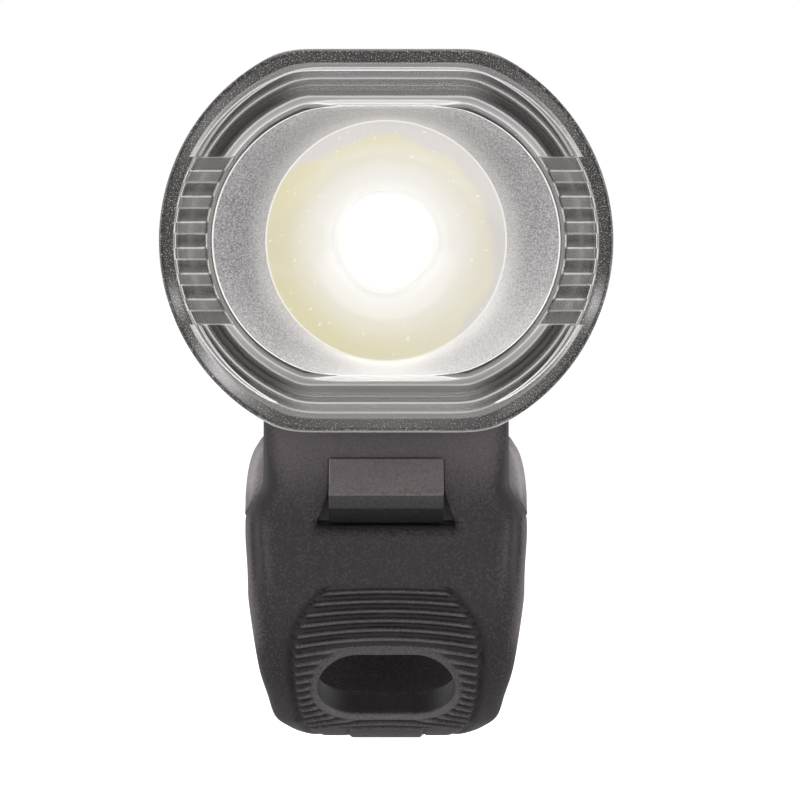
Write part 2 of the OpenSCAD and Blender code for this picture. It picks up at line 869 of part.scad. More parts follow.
// Stadium punched outwards through the strap at the angle of the finger hole
module radial_stadium(w, h, r0, r1) {
  rotate([hole_angle, 0, 0]) translate([0, -r0, 0]) rotate([90, 0, 0]) linear_extrude(r1 - r0)
    rotate([0, 0, 90]) stadium(h, w);
}

// Rear of the strap: under the bar and up to the anchor eye
module strap_rear() {
  color("darkslategray") difference() {
    union() {
      intersection() {
        mirror([0, 1, 0]) ring_sector(strap_ri, strap_ro, 2 * strap_w, 0, 180 - split_angle);
        translate([0, 0, -2 * strap_ro]) linear_extrude(2 * strap_ro) tail_outline(strap_ro, split_angle / 2);
      }
      translate([-tail_w / 2, strap_ri, 0]) cube([tail_w, strap_t, eye_z - eye_wall]);
      translate([-tail_w / 2, eye_y, eye_z]) rotate([0, 90, 0]) cylinder(h = tail_w, r = eye_r);
    }
    translate([-tail_w, eye_y, eye_z]) rotate([0, 90, 0]) cylinder(h = 2 * tail_w, r = eye_bore_r);
  }
}

// View of the strap from below: sides drawn in to an even width, at one radius around the bar
module tail_outline(r, start) {
  front = [for (i = [0 : outline_steps])
    let (a = start + (90 - start) * i / outline_steps) [strap_half(a), -r * cos(a)]];
  right = concat([[strap_half(start), -2 * strap_ro]], front, [[tail_w / 2, 2 * strap_ro]]);
  left = [for (i = [len(right) - 1 : -1 : 0]) [-right[i][0], right[i][1]]];
  polygon(concat(right, left));
}

// Steel pin through ears and strap
module strap_pin() {
  color("silver") translate([-pin_len / 2, eye_y, eye_z]) rotate([0, 90, 0]) cylinder(h = pin_len, r = pin_r);
}

lens_cover();
reflector_plate();
collimator_lens();
lens_holder();
led_emitter();
led_board();
led_board_screws();
heat_sink();
led_leads();
main_housing();
rear_gasket();
rear_cover();
rear_cover_screws();
battery_cell();
battery_pads();
battery_end_pad();
battery_tabs();
control_board();
control_board_screws();
switch_body();
switch_plunger();
power_button();
light_pipe();
usb_socket();
usb_flap();
mount_base();
base_screws();
bar_pad();
strap_front();
strap_rear();
strap_pin();
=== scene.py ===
"""Looks of a strap-on bicycle front light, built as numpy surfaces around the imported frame.
Sizes are in millimetres until weld turns them to metres. The head's axis runs along Y."""
import math

import bmesh
import bpy
import numpy as np
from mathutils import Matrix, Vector


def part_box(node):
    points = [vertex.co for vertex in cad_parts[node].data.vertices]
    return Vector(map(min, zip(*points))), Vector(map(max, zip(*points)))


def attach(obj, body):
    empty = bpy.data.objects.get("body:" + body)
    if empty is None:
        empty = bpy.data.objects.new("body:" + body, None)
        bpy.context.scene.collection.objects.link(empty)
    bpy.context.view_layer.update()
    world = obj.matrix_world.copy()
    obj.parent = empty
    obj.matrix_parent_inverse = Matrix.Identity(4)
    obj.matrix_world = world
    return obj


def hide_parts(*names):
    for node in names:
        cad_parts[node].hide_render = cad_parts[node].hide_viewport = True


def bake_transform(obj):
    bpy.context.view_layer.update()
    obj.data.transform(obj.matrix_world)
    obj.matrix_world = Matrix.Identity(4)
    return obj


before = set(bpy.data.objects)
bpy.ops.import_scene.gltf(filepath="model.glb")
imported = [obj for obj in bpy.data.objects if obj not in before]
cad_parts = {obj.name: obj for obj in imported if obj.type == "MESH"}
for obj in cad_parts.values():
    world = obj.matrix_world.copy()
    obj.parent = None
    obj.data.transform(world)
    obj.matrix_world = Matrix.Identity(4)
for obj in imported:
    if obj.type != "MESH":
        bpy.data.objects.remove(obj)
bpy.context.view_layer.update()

MM = 0.001


def box_mm(name):
    """Lowest and highest corner of a CAD node, in millimetres."""
    low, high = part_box(name)
    return np.array(low) / MM, np.array(high) / MM


# Head, read from the clear cover's box
cover_lo, cover_hi = box_mm("lens_cover")
front_y = cover_lo[1]
half_w = cover_hi[0]
half_h = (cover_hi[2] - cover_lo[2]) / 2
head_z = (cover_hi[2] + cover_lo[2]) / 2
side_spread = 4.0
side_r = half_w - side_spread / 2
corner_soft = 0.9
soft_reach = 7  # inset at which a corner of the outline would be sharp

# Clear cover: insets from its outer edge and depths behind its front face
skirt_t = 1.8
skirt_deep = 9.0
plate_t = 2.4
window_inset = 5.75
window_sink = 0.03
window_end = 6.1
side_window_half = 8.48
rib_count = 6
rib_pitch = 2.6
rib_half = 0.575
rib_sink = 0.12
rib_gap_sink = 1.05

# Optics
plate_lo, plate_hi = box_mm("reflector_plate")
lens_lo, lens_hi = box_mm("collimator_lens")
lens_edge_r = 12.28
lens_neck_r = 4.6
lens_eye_r = 5.3
flange_t = 1.6
flange_r = 12.6

# Strap and base
strap_lo, strap_hi = box_mm("strap_front")
base_lo, base_hi = box_mm("mount_base")
pin_lo, pin_hi = box_mm("strap_pin")
bar_r = 12.7
strap_t = 3.0
strap_ri = bar_r + 0.7
strap_ro = strap_ri + strap_t
strap_w = strap_hi[0] - strap_lo[0]
# Distances along the strap: below zero on the neck, then round the bar, and straight behind it
s_top = -strap_hi[2] - 0.8
s_under = strap_ro * math.pi
grip_h = 0.45
neck_w = 25.4
tail_w = 14.4
hole_w = 14.4
hole_h = 8.6
hole_angle = math.radians(38.6)
hole_s = strap_ro * hole_angle
lug_top = base_hi[2] - 4.65
lug_h = 6.35
lug_w = 11.8
lug_nose_y = base_lo[1] + 0.02
lug_foot_z = 10.1
eye_y = (pin_lo[1] + pin_hi[1]) / 2
eye_z = (pin_lo[2] + pin_hi[2]) / 2
pin_r = (pin_hi[1] - pin_lo[1]) / 2


def ease(t):
    """Smooth step: 0 below 0, 1 above 1, and three t squared less two t cubed between."""
    u = np.clip(t, 0, 1)
    return u * u * (3 - 2 * u)


def bell(offset, wide):
    """Bell curve: one where the offset is nothing, falling with the square of offset over wide."""
    return np.exp(-(offset / wide) ** 2)


def hump(t):
    """Half circle over t from minus one to one, and zero outside."""
    return np.sqrt(np.clip(1 - t * t, 0, 1))


def roundover(distance, radius):
    """Drop of a quarter-round edge: radius at the edge, nothing one radius in."""
    left = np.clip(radius - distance, 0, radius)
    return radius - np.sqrt(radius * radius - left * left)


def soft_edge(distance, wide, deep):
    """Drop of a quarter ellipse at an edge: deep at the edge, nothing at a distance of wide."""
    left = np.clip(1 - distance / wide, 0, 1)
    return deep * (1 - np.sqrt(1 - left * left))


def soft_min(a, b, stretch):
    """Smaller of two values, with the change from one to the other rounded over a stretch."""
    return np.minimum(a, b) - np.maximum(stretch - np.abs(a - b), 0) ** 2 / (4 * stretch)


def box_distance(past_u, past_v, corner):
    """Distance to a box with round corners, from how far a point lies past its two pairs of sides."""
    a, b = past_u + corner, past_v + corner
    return np.hypot(np.maximum(a, 0), np.maximum(b, 0)) + np.minimum(np.maximum(a, b), 0) - corner


def full_turn(count):
    """Even angles once round a circle."""
    return np.linspace(0, 2 * math.pi, count, endpoint=False)


def quarter_turn(count=9):
    """Even angles over a quarter of a circle, both ends included."""
    return np.linspace(0, math.pi / 2, count)


def grid_cells(points, around):
    """Corner indices of each cell of a grid, closed along its columns if around is set."""
    rows, cols = points.shape[:2]
    index = np.arange(rows * cols).reshape(rows, cols)
    if around:
        index = np.concatenate([index, index[:, :1]], 1)
    corners = [index[:-1, :-1], index[:-1, 1:], index[1:, 1:], index[1:, :-1]]
    return np.stack(corners, -1).reshape(-1, 4)


def weld(name, blocks, smooth_angle=40, notes=None):
    """One closed mesh from grids of points: equal points become one, a cell with two equal corners
    becomes a triangle, and a cell that shrank to a line is left out. A block is (points, around).
    notes are values per point that the mesh keeps for its material."""
    same_point = 0.002
    points = np.concatenate([block.reshape(-1, 3) for block, around in blocks])
    begins = np.cumsum([0] + [block.shape[0] * block.shape[1] for block, around in blocks])
    cells = [grid_cells(*block) + begin for block, begin in zip(blocks, begins)]
    keys = np.round(points / same_point).astype(np.int64)
    first, place = np.unique(keys, axis=0, return_index=True, return_inverse=True)[1:]
    cells = place.reshape(-1)[np.concatenate(cells)]
    spare = cells == np.roll(cells, 1, axis=1)
    corners = 4 - spare.sum(1)
    threes = cells[corners == 3][~spare[corners == 3]].reshape(-1, 3)
    mesh = bpy.data.meshes.new(name)
    mesh.from_pydata(points[first] * MM, [], cells[corners == 4].tolist() + threes.tolist())
    for key, values in (notes or {}).items():
        layer = mesh.attributes.new(key, "FLOAT", "POINT")
        layer.data.foreach_set("value", np.asarray(values).reshape(-1)[first].astype(np.float32))
    shell = bmesh.new()
    shell.from_mesh(mesh)
    bmesh.ops.recalc_face_normals(shell, faces=shell.faces)
    shell.to_mesh(mesh)
    shell.free()
    mesh.shade_smooth()
    mesh.set_sharp_from_angle(angle=math.radians(smooth_angle))
    piece = bpy.data.objects.new(name, mesh)
    bpy.context.scene.collection.objects.link(piece)
    return piece


def dress(piece, material, slot, body, *nodes):
    """Gives a piece its material and body, and hides the CAD nodes that it stands for. The slot is not
    used.
    """
    piece.data.materials.append(material)
    if body:
        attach(piece, body)
    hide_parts(*nodes)
    return piece


# Kinds of node. A Map Range takes its value at 0, the range it comes from at 1 and 2 and the one it
# goes to at 3 and 4. A Mix of colours takes its share at 0 and its colours at 6 and 7.
NOISE, RANGE, MIX, MATH = "ShaderNodeTexNoise", "ShaderNodeMapRange", "ShaderNodeMix", "ShaderNodeMath"
VECTOR, ATTRIBUTE, BUMP = "ShaderNodeVectorMath", "ShaderNodeAttribute", "ShaderNodeBump"
PRINCIPLED, OUTPUT = "ShaderNodeBsdfPrincipled", "ShaderNodeOutputMaterial"
LIGHT_PATH = "ShaderNodeLightPath"
COLOURS = {"output": 2, "data_type": "RGBA"}


def per_mm(size):
    """Scale of a noise whose features are about size millimetres across."""
    return 1 / (size * MM)


def linear(code):
    """Linear red, green, blue and alpha of an sRGB hex colour."""
    parts = [int(code[i:i + 2], 16) / 255 for i in (0, 2, 4)]
    return tuple(c / 12.92 if c < 0.04045 else ((c + 0.055) / 1.055) ** 2.4 for c in parts) + (1.0,)


def add(tree, kind, inputs=(), output=0, **settings):
    """Adds a node. Settings are its properties. An input is linked where it is another node's
    output, and set where it is a value or a hex colour. The answer is one of the node's outputs."""
    node = tree.nodes.new(kind)
    for key, value in settings.items():
        setattr(node, key, value)
    for key, value in dict(inputs).items():
        if isinstance(value, bpy.types.NodeSocket):
            tree.links.new(value, node.inputs[key])
        else:
            node.inputs[key].default_value = linear(value) if isinstance(value, str) else value
    return node.outputs[output] if node.outputs else None


def start(name):
    """An empty material, its node tree and its object coordinates in metres."""
    material = bpy.data.materials.new(name)
    material.use_nodes = True
    tree = material.node_tree
    tree.nodes.clear()
    return material, tree, add(tree, "ShaderNodeTexCoord", output="Object")


def moulded(name, dark, light, rough, grain_mm, grain_depth_mm, specular=0.5, painted_light=None):
    """Moulded surface: two close tones in soft clouds, and a fine grain in roughness and height. Where
    a pale and a deep tone are given, the mesh's own values of painted light lead to them: painted
    highlight to the pale, painted shade to the deep."""
    cloud_mm = 9.0
    material, tree, place = start(name)
    cloud = add(tree, NOISE, {"Vector": place, "Scale": per_mm(cloud_mm), "Detail": 3})
    grain = add(tree, NOISE, {"Vector": place, "Scale": per_mm(grain_mm), "Detail": 2})
    speck = add(tree, RANGE, {0: grain, 1: 0.3, 2: 0.7, 3: 0.0, 4: 0.5})
    tone = add(tree, MATH, {0: cloud, 1: 0.5, 2: speck}, operation="MULTIPLY_ADD")
    colour = add(tree, MIX, {0: tone, 6: dark, 7: light}, **COLOURS)
    if painted_light:
        # Painted light from the mesh: high values give a painted highlight, low ones painted shade
        value = add(tree, ATTRIBUTE, output="Fac", attribute_name="painted_light")
        uneven = add(tree, MATH, {0: grain, 1: 0.8, 2: value}, operation="MULTIPLY_ADD")
        pale = add(tree, RANGE, {0: uneven, 1: 0.4, 2: 1.4, 3: 0.0, 4: 1.0})
        deep = add(tree, RANGE, {0: uneven, 1: -0.6, 2: 0.4, 3: 1.0, 4: 0.0})
        colour = add(tree, MIX, {0: pale, 6: colour, 7: painted_light[0]}, **COLOURS)
        colour = add(tree, MIX, {0: deep, 6: colour, 7: painted_light[1]}, **COLOURS)
    bump = add(tree, BUMP, {"Strength": 0.6, "Distance": grain_depth_mm * MM, "Height": grain})
    matt = add(tree, RANGE, {0: grain, 1: 0.3, 2: 0.7, 3: rough - 0.06, 4: rough + 0.06})
    shader = add(tree, PRINCIPLED, {"Specular IOR Level": specular, "Base Color": colour,
                                    "Normal": bump, "Roughness": matt})
    add(tree, OUTPUT, {"Surface": shader})
    return material


def metal(name, dark, light, rough, grain_mm, grain_depth_mm):
    """Bare metal: two close tones and a grain in roughness and height."""
    material, tree, place = start(name)
    grain = add(tree, NOISE, {"Vector": place, "Scale": per_mm(grain_mm), "Detail": 3})
    share = add(tree, RANGE, {0: grain, 1: 0.35, 2: 0.65, 3: 0.0, 4: 1.0})
    colour = add(tree, MIX, {0: share, 6: dark, 7: light}, **COLOURS)
    bump = add(tree, BUMP, {"Strength": 0.5, "Distance": grain_depth_mm * MM, "Height": grain})
    matt = add(tree, RANGE, {0: grain, 1: 0.3, 2: 0.7, 3: rough - 0.08, 4: rough + 0.08})
    shader = add(tree, PRINCIPLED, {"Metallic": 1.0, "Base Color": colour, "Normal": bump,
                                    "Roughness": matt})
    add(tree, OUTPUT, {"Surface": shader})
    return material


def clear_polycarbonate():
    """Polycarbonate, injection moulded: polished where it is a window, spark-eroded and smoky on the
    rim. The eye sees depth in the polished band, a dark rim with bright specks, and pale lines along
    the edges. The mesh gives a pale veil of painted highlights and reflections; etch, the rim; and
    shade, painted shade as a dark tint. The sparks' pits are drawn coarser than they are, so that they
    show."""
    pit_mm, pit_depth_mm = 0.14, 0.015
    material, tree, place = start("clear_polycarbonate")
    painted_highlight = add(tree, ATTRIBUTE, output="Fac", attribute_name="painted_highlight")
    etch = add(tree, ATTRIBUTE, output="Fac", attribute_name="etch")
    shade = add(tree, ATTRIBUTE, output="Fac", attribute_name="shade")
    fine = add(tree, NOISE, {"Vector": place, "Scale": per_mm(pit_mm), "Detail": 2})
    speck = add(tree, RANGE, {0: fine, 1: 0.56, 2: 0.88, 3: 0.0, 4: 1.0})
    plain = add(tree, MATH, {0: 1.0, 1: speck}, operation="SUBTRACT")
    smoke = add(tree, MATH, {0: plain, 1: etch}, operation="MULTIPLY")
    dark = add(tree, MATH, {0: smoke, 1: shade}, operation="MAXIMUM")
    colour = add(tree, MIX, {0: dark, 6: "f3f1f0", 7: "151211"}, **COLOURS)
    dust = add(tree, MATH, {0: speck, 1: 0.3, 2: 0.6}, operation="MULTIPLY_ADD")
    veiled = add(tree, MATH, {0: dust, 1: etch, 2: painted_highlight}, operation="MULTIPLY_ADD")
    clear = add(tree, MATH, {0: 1.0, 1: veiled}, operation="SUBTRACT", use_clamp=True)
    bump = add(tree, BUMP, {"Distance": pit_depth_mm * MM, "Height": fine, "Strength": etch})
    matt = add(tree, RANGE, {0: etch, 1: 0.0, 2: 1.0, 3: 0.04, 4: 0.28})
    # The grey specular tint stands for a face that is a little dusty and mirrors less
    shader = add(tree, PRINCIPLED, {"IOR": 1.58, "Base Color": colour, "Transmission Weight": clear,
                                    "Normal": bump, "Roughness": matt, "Specular Tint": "a8a4a2"})
    # Casts no shadow, so that the lamps reach what lies behind it
    shadow = add(tree, LIGHT_PATH, output="Is Shadow Ray")
    through = add(tree, "ShaderNodeBsdfTransparent")
    mixed = add(tree, "ShaderNodeMixShader", {0: shadow, 1: shader, 2: through})
    add(tree, OUTPUT, {"Surface": mixed})
    return material


def satin_metallised():
    """Vacuum-metallised plastic with a satin base coat: grey silver with a fine bright grain, and a
    pale outer edge. The mesh's edge value also pales it with painted light where the lens throws light
    on it."""
    grain_mm, grain_depth_mm = 0.17, 0.03
    material, tree, place = start("satin_metallised_plastic")
    grain = add(tree, NOISE, {"Vector": place, "Scale": per_mm(grain_mm), "Detail": 3})
    cut = add(tree, ATTRIBUTE, output="Fac", attribute_name="cut")
    share = add(tree, RANGE, {0: grain, 1: 0.35, 2: 0.7, 3: 0.0, 4: 1.0})
    silver = add(tree, MIX, {0: share, 6: "636365", 7: "b2b2b4"}, **COLOURS)
    colour = add(tree, MIX, {0: cut, 6: silver, 7: "fafafa"}, **COLOURS)
    bump = add(tree, BUMP, {"Strength": 0.7, "Distance": grain_depth_mm * MM, "Height": grain})
    metallic = add(tree, RANGE, {0: cut, 1: 0.0, 2: 1.0, 3: 0.85, 4: 0.1})
    matt = add(tree, RANGE, {0: grain, 1: 0.3, 2: 0.7, 3: 0.42, 4: 0.56})
    shader = add(tree, PRINCIPLED, {"Base Color": colour, "Normal": bump, "Metallic": metallic,
                                    "Roughness": matt})
    add(tree, OUTPUT, {"Surface": shader})
    return material


def lit_acrylic():
    """Acrylic collimator, moulded and polished, with its lamp on: white over the emitter, a faint
    ring where the eye lens ends, patchy pale yellow from the phosphor further out, a colder veil
    with a ragged border towards the upper right, a few bright flecks, and a bright edge."""
    mottle_mm, fleck_mm = 5.0, 0.5
    ring_r = lens_eye_r + 0.75
    veil_middle = (-0.9 * MM, 0, -1.2 * MM)
    material, tree, place = start("lit_acrylic")
    at = add(tree, "ShaderNodeMapping", {"Vector": place, "Location": (0, 0, -head_z * MM)})
    flat = add(tree, VECTOR, {0: at, 1: (1, 0, 1)}, operation="MULTIPLY")
    radius = add(tree, VECTOR, {0: flat}, "Value", operation="LENGTH")
    aside = add(tree, VECTOR, {0: flat, 1: veil_middle}, "Value", operation="DISTANCE")
    across = add(tree, "ShaderNodeSeparateXYZ", {0: place}, "X")
    mottle = add(tree, NOISE, {"Vector": place, "Scale": per_mm(mottle_mm), "Detail": 3})
    stray = add(tree, MATH, {0: mottle, 1: 1.6 * MM, 2: radius}, operation="MULTIPLY_ADD")
    from_ring = add(tree, MATH, {0: stray, 1: ring_r * MM}, operation="SUBTRACT")
    ring_gap = add(tree, MATH, {0: from_ring}, operation="ABSOLUTE")
    ring = add(tree, RANGE, {0: ring_gap, 1: 0.05 * MM, 2: 0.4 * MM, 3: 0.35, 4: 0.0})
    glow = add(tree, RANGE, {0: radius, 1: 4.3 * MM, 2: 10.0 * MM, 3: 1.0, 4: 0.0})
    outer = add(tree, RANGE, {0: radius, 1: 6.0 * MM, 2: 11.4 * MM, 3: 0.0, 4: 1.0})
    edge = add(tree, RANGE, {0: radius, 1: (lens_edge_r - 0.2) * MM, 2: (lens_edge_r - 0.1) * MM,
                             3: 0.0, 4: 0.9})
    patch = add(tree, RANGE, {0: mottle, 1: 0.45, 2: 0.7, 3: 0.0, 4: 0.5})
    ragged = add(tree, MATH, {0: mottle, 1: 3.5 * MM, 2: aside}, operation="MULTIPLY_ADD")
    cold = add(tree, RANGE, {0: ragged, 1: 13.1 * MM, 2: 13.9 * MM, 3: 0.0, 4: 0.9})
    dots = add(tree, NOISE, {"Vector": place, "Scale": per_mm(fleck_mm), "Detail": 0})
    fleck = add(tree, RANGE, {0: dots, 1: 0.76, 2: 0.8, 3: 0.0, 4: 0.7})
    right = add(tree, RANGE, {0: across, 1: -4 * MM, 2: 11 * MM, 3: 0.0, 4: 1.0})
    deep = add(tree, MIX, {0: right, 6: "ddd8ae", 7: "e3dfcb"}, **COLOURS)
    colour = add(tree, MIX, {0: outer, 6: "f3f0e4", 7: deep}, **COLOURS)
    for share, tone in ((patch, "e8e5d2"), (cold, "d9d6d6"), (glow, "fefefd"), (ring, "e6e6e8"),
                        (fleck, "fffff4"), (edge, "fffffa")):
        colour = add(tree, MIX, {0: share, 6: colour, 7: tone}, **COLOURS)
    power = add(tree, RANGE, {0: radius, 1: 2.4 * MM, 2: 6.6 * MM, 3: 1.2, 4: 0.93})
    shader = add(tree, PRINCIPLED, {"Roughness": 0.12, "IOR": 1.49, "Base Color": "3c3b36",
                                    "Emission Color": colour, "Emission Strength": power})
    add(tree, OUTPUT, {"Surface": shader})
    return material


# Silicone rubber, compression moulded in a blasted tool: matt, near black, faintly warm, with a pale
# tone for painted highlights and a deep one for painted shade
silicone = moulded("moulded_silicone", "140f10", "292425", 0.58, 0.22, 0.03, 0.28, ("6f6869", "0b0a0a"))
# Glass-filled nylon, moulded and spark-eroded: satin dark grey that catches side light, with a pale
# tone for painted highlights and a deep one for painted shade
base_nylon = moulded("moulded_nylon", "3f3a3b", "4c4647", 0.45, 0.3, 0.02, 0.4, ("8a8384", "121111"))
# Silicone button from a polished tool: smooth dark grey with a soft sheen
button_silicone = moulded("button_silicone", "3b3b3d", "434345", 0.45, 0.3, 0.008)
# Silicone flap from a finely blasted tool: matt near black
flap_silicone = moulded("flap_silicone", "262526", "302f30", 0.55, 0.25, 0.012)
# Soft silicone pad from a blasted tool: matt black
pad_silicone = moulded("pad_silicone", "1f1e1f", "2a2929", 0.65, 0.25, 0.02)
# ABS, moulded with a fine spark-eroded texture: matt charcoal
housing_abs = moulded("moulded_abs", "2b292a", "363334", 0.5, 0.22, 0.01)


def side_loop(wide, high, centre, soft, z_side, arc_count=26, flat_count=22):
    """Outline of two side circles and two flats: points at given heights up each side, then equal
    angles past the corner, then equal steps across the flat. The height is the softer smaller of
    side circle and flat, and the second half is the first turned round."""
    r = wide - centre
    begin = np.arcsin(z_side[-1] / r)
    past = np.arccos(np.sqrt(1 - (high / r) ** 2) - 3 * soft / r)
    rise = begin + (past - begin) * np.arange(1, arc_count + 1) / arc_count
    side = np.concatenate([-rise[::-1], np.arcsin(z_side / r), rise])
    height = soft_min(r * np.abs(np.sin(side)), high, soft) * np.sign(np.sin(side))
    right = np.stack([centre + r * np.cos(side), height], 1)
    flat_x = np.linspace(1, -1, flat_count + 2)[1:-1] * right[-1, 0]
    top = np.stack([flat_x, np.full(flat_count, high)], 1)
    half = np.concatenate([right, top])
    return np.concatenate([half, -half])


def head_loop(inset, z_side):
    """Outline of the head, drawn in evenly by an inset, with corners that get crisper inwards."""
    soft = corner_soft * (1 - inset / soft_reach)
    return side_loop(half_w - inset, half_h - inset, side_spread / 2, soft, z_side)


def window_loop(inset, z_side):
    """Outline of a step on the cover's face: drawn in less at the sides, on wider-set circles."""
    centre = side_spread / 2 + np.interp(inset, [0, 2, 6], [0, 1.2, 1.6])
    drawn = np.interp(inset, [0, 2, window_inset, 7], [0, 1.58, 5.0, 6.2])
    soft = corner_soft * (1 - inset / soft_reach)
    return side_loop(half_w - drawn, half_h - inset, centre, soft, z_side)


def on_axis(loop, y):
    """Front-view points as points in space at a station along Y."""
    return np.stack([loop[:, 0], np.broadcast_to(y, len(loop)), loop[:, 1] + head_z], 1)


def rib_heights():
    """Heights at which the cover's side columns stand: close together at each rib edge and wall."""
    edge = np.array([-0.12, -0.07, -0.03, 0.0, 0.03, 0.07, 0.12])
    centres = (np.arange(rib_count) - (rib_count - 1) / 2) * rib_pitch
    at = [c + s * rib_half + edge for c in centres for s in (-1, 1)]
    at += [centres, (centres[:-1] + centres[1:]) / 2]
    at += [s * side_window_half + edge for s in (-1, 1)]
    return np.unique(np.round(np.concatenate(at), 4))


def front_cover():
    """Clear cover: a profile of (inset, depth) rows carried round the head's outline. Between the
    side walls the channel is replaced by ribs, whose depth depends on the height alone."""
    z_side = rib_heights()
    # From the skirt's end over the rim's round edge, down the channel's steps and up to the window
    profile = [
        (0.0, skirt_deep), (0.0, 5.0), (0.0, 1.5), (0.0, 0.55), (0.04, 0.33), (0.16, 0.14),
        (0.36, 0.03), (0.55, 0.0), (1.2, 0.0), (1.35, 0.0), (1.5, 0.0), (1.8, 0.0), (1.9, 0.01),
        (1.95, 0.03), (2.0, 0.06), (2.05, 0.09), (2.14, 0.15), (2.3, 0.22), (2.6, 0.36),
        (2.85, 0.48), (2.95, 0.51), (3.05, 0.52), (3.13, 0.6), (3.2, 0.7), (3.35, 0.75), (3.6, 0.75),
        (3.66, 0.72), (3.72, 0.75), (4.2, 0.75), (4.65, 0.75), (4.72, 0.75), (4.78, 0.73),
        (4.88, 0.64), (4.98, 0.56), (5.2, 0.38), (5.42, 0.18), (5.5, 0.12), (5.58, 0.08),
        (5.66, 0.05), (window_inset, window_sink), (5.95, window_sink), (window_end, window_sink)]
    rows = np.array(profile)
    inset, plain = rows[:, :1], rows[:, 1:]
    loops = np.stack([window_loop(u, z_side) for u in rows[:, 0]])
    x, z = loops[:, :, 0], loops[:, :, 1]
    on_side = np.abs(x) > side_spread / 2 + (side_r - window_inset) * 0.55
    number = z / rib_pitch + (rib_count - 1) / 2
    offset = (number - np.clip(np.round(number), 0, rib_count - 1)) * rib_pitch
    nearest = np.abs(offset)
    rib = rib_sink + (rib_gap_sink - rib_sink) * ease((nearest - rib_half + 0.07) / 0.14)
    band = ease((inset - 1.94) / 0.12) * ease((5.64 - inset) / 0.2)
    within = ease((side_window_half + 0.06 - np.abs(z)) / 0.12) * on_side
    flush = np.where(inset > 3.5, window_sink, 0.02)
    depth = plain + within * (inset > 1.85) * (band * rib + (1 - band) * flush - plain)
    outer = np.stack([x, front_y + depth, z + head_z], -1)

    # Painted highlights as a pale veil: lines along the steps of the channel, on the ribs along their
    # edges, and at the ribs' ends
    stations = [0, 0.3, 1.35, 1.5, 1.9, 2.0, 2.05, 2.14, 2.6, 2.85, 2.95, 3.05, 3.13, 3.3, 3.6, 3.66,
                3.72, 4.65, 4.72, 4.78, 4.88, 4.98, 5.42, 5.5, 5.58, 5.66, 5.95, window_end]
    veils = [0.1, 0.05, 0.05, 0.12, 0.1, 0.45, 0.3, 0.2, 0.17, 0.2, 0.5, 0.35, 0.16, 0.1, 0.1, 0.4,
             0.1, 0.1, 0.25, 0.5, 0.45, 0.3, 0.35, 0.65, 0.5, 0.22, 0.16, 0.0]
    corner = ease((np.abs(x) - 7) / 5) * (1 - within)
    plain_highlight = np.interp(inset, stations, veils) * (1 - 0.45 * corner * (inset < 2.9))
    along = ease((inset - 2.25) / 0.15) * ease((5.4 - inset) / 0.15)
    upper = 0.95 * bell(offset - rib_half, 0.09) * (0.3 + 0.7 * along)
    lower = 0.8 * bell(offset + rib_half, 0.08)
    smudge = 0.12 * bell(inset - 3.8, 0.4)
    rib_highlight = np.maximum.reduce([upper, lower, np.where(nearest < rib_half, 0.13, 0.03) + smudge])
    wall = 0.8 * bell(inset - 2.0, 0.05) + 0.12 * bell(inset - 5.55, 0.08)
    groove = 0.22 * ease((inset - 5.6) / 0.1) * ease((window_end - inset) / 0.15)
    side_highlight = band * rib_highlight + (1 - band) * 0.05 * (inset < 1.96)
    side_highlight = np.maximum(side_highlight, np.maximum(wall, groove))
    end_line = 0.85 * bell(np.abs(z) - side_window_half, 0.1) * band * on_side
    painted_highlight = np.maximum(plain_highlight + within * (side_highlight - plain_highlight), end_line)

    # Etched rim with painted reflections as paler patches, each at an angle with a spread and an amount
    etch = np.interp(inset, [0, 1.35, 1.5, 1.95, 2.1], [1, 1, 0.5, 0.35, 0])
    etch = etch + within * (np.interp(inset, [0, 1.88, 1.96], [1, 1, 0]) - etch)
    turn = np.degrees(np.arctan2(z, x))
    reflection_patches = [(-141, 8, 0.4), (-17, 5, 0.3), (-164, 4, 0.2), (145, 12, 0.06), (40, 10, 0.05),
               (-90, 38, 0.13)]
    painted_reflection = sum(amount * bell(turn - at, wide) for at, wide, amount in reflection_patches)
    painted_reflection = painted_reflection * ease((inset - 0.3) / 0.2) * ease((1.7 - inset) / 0.3)

    # Painted highlight along the rim's outer edge above and below, and painted shade as a dark tint in
    # the channel, on the groove's wall and between the ribs
    lip = bell(inset, 0.15) * (plain < 0.6)
    edge_highlight = lip * (0.8 * ease((-z - half_h + 2.0) / 1.2) + 0.35 * ease((z - half_h + 1.5) / 1.0))
    etch = etch * (1 - painted_reflection) * (1 - edge_highlight)
    painted_highlight = painted_highlight + 0.5 * painted_reflection + 0.7 * edge_highlight
    dim = np.interp(inset, [2.1, 2.2, 2.75, 2.85, 3.1, 3.25, 4.6, 4.7],
                    [0, 0.82, 0.82, 0, 0, 0.93, 0.93, 0])
    shade = dim * (0.08 + 0.92 * corner) + 0.9 * within * bell(inset - 5.52, 0.1)
    in_gap = ease((nearest - rib_half - 0.05) / 0.1)
    shade = shade + (0.03 + 0.27 * in_gap) * within * band * ease((5.3 - inset) / 0.1)

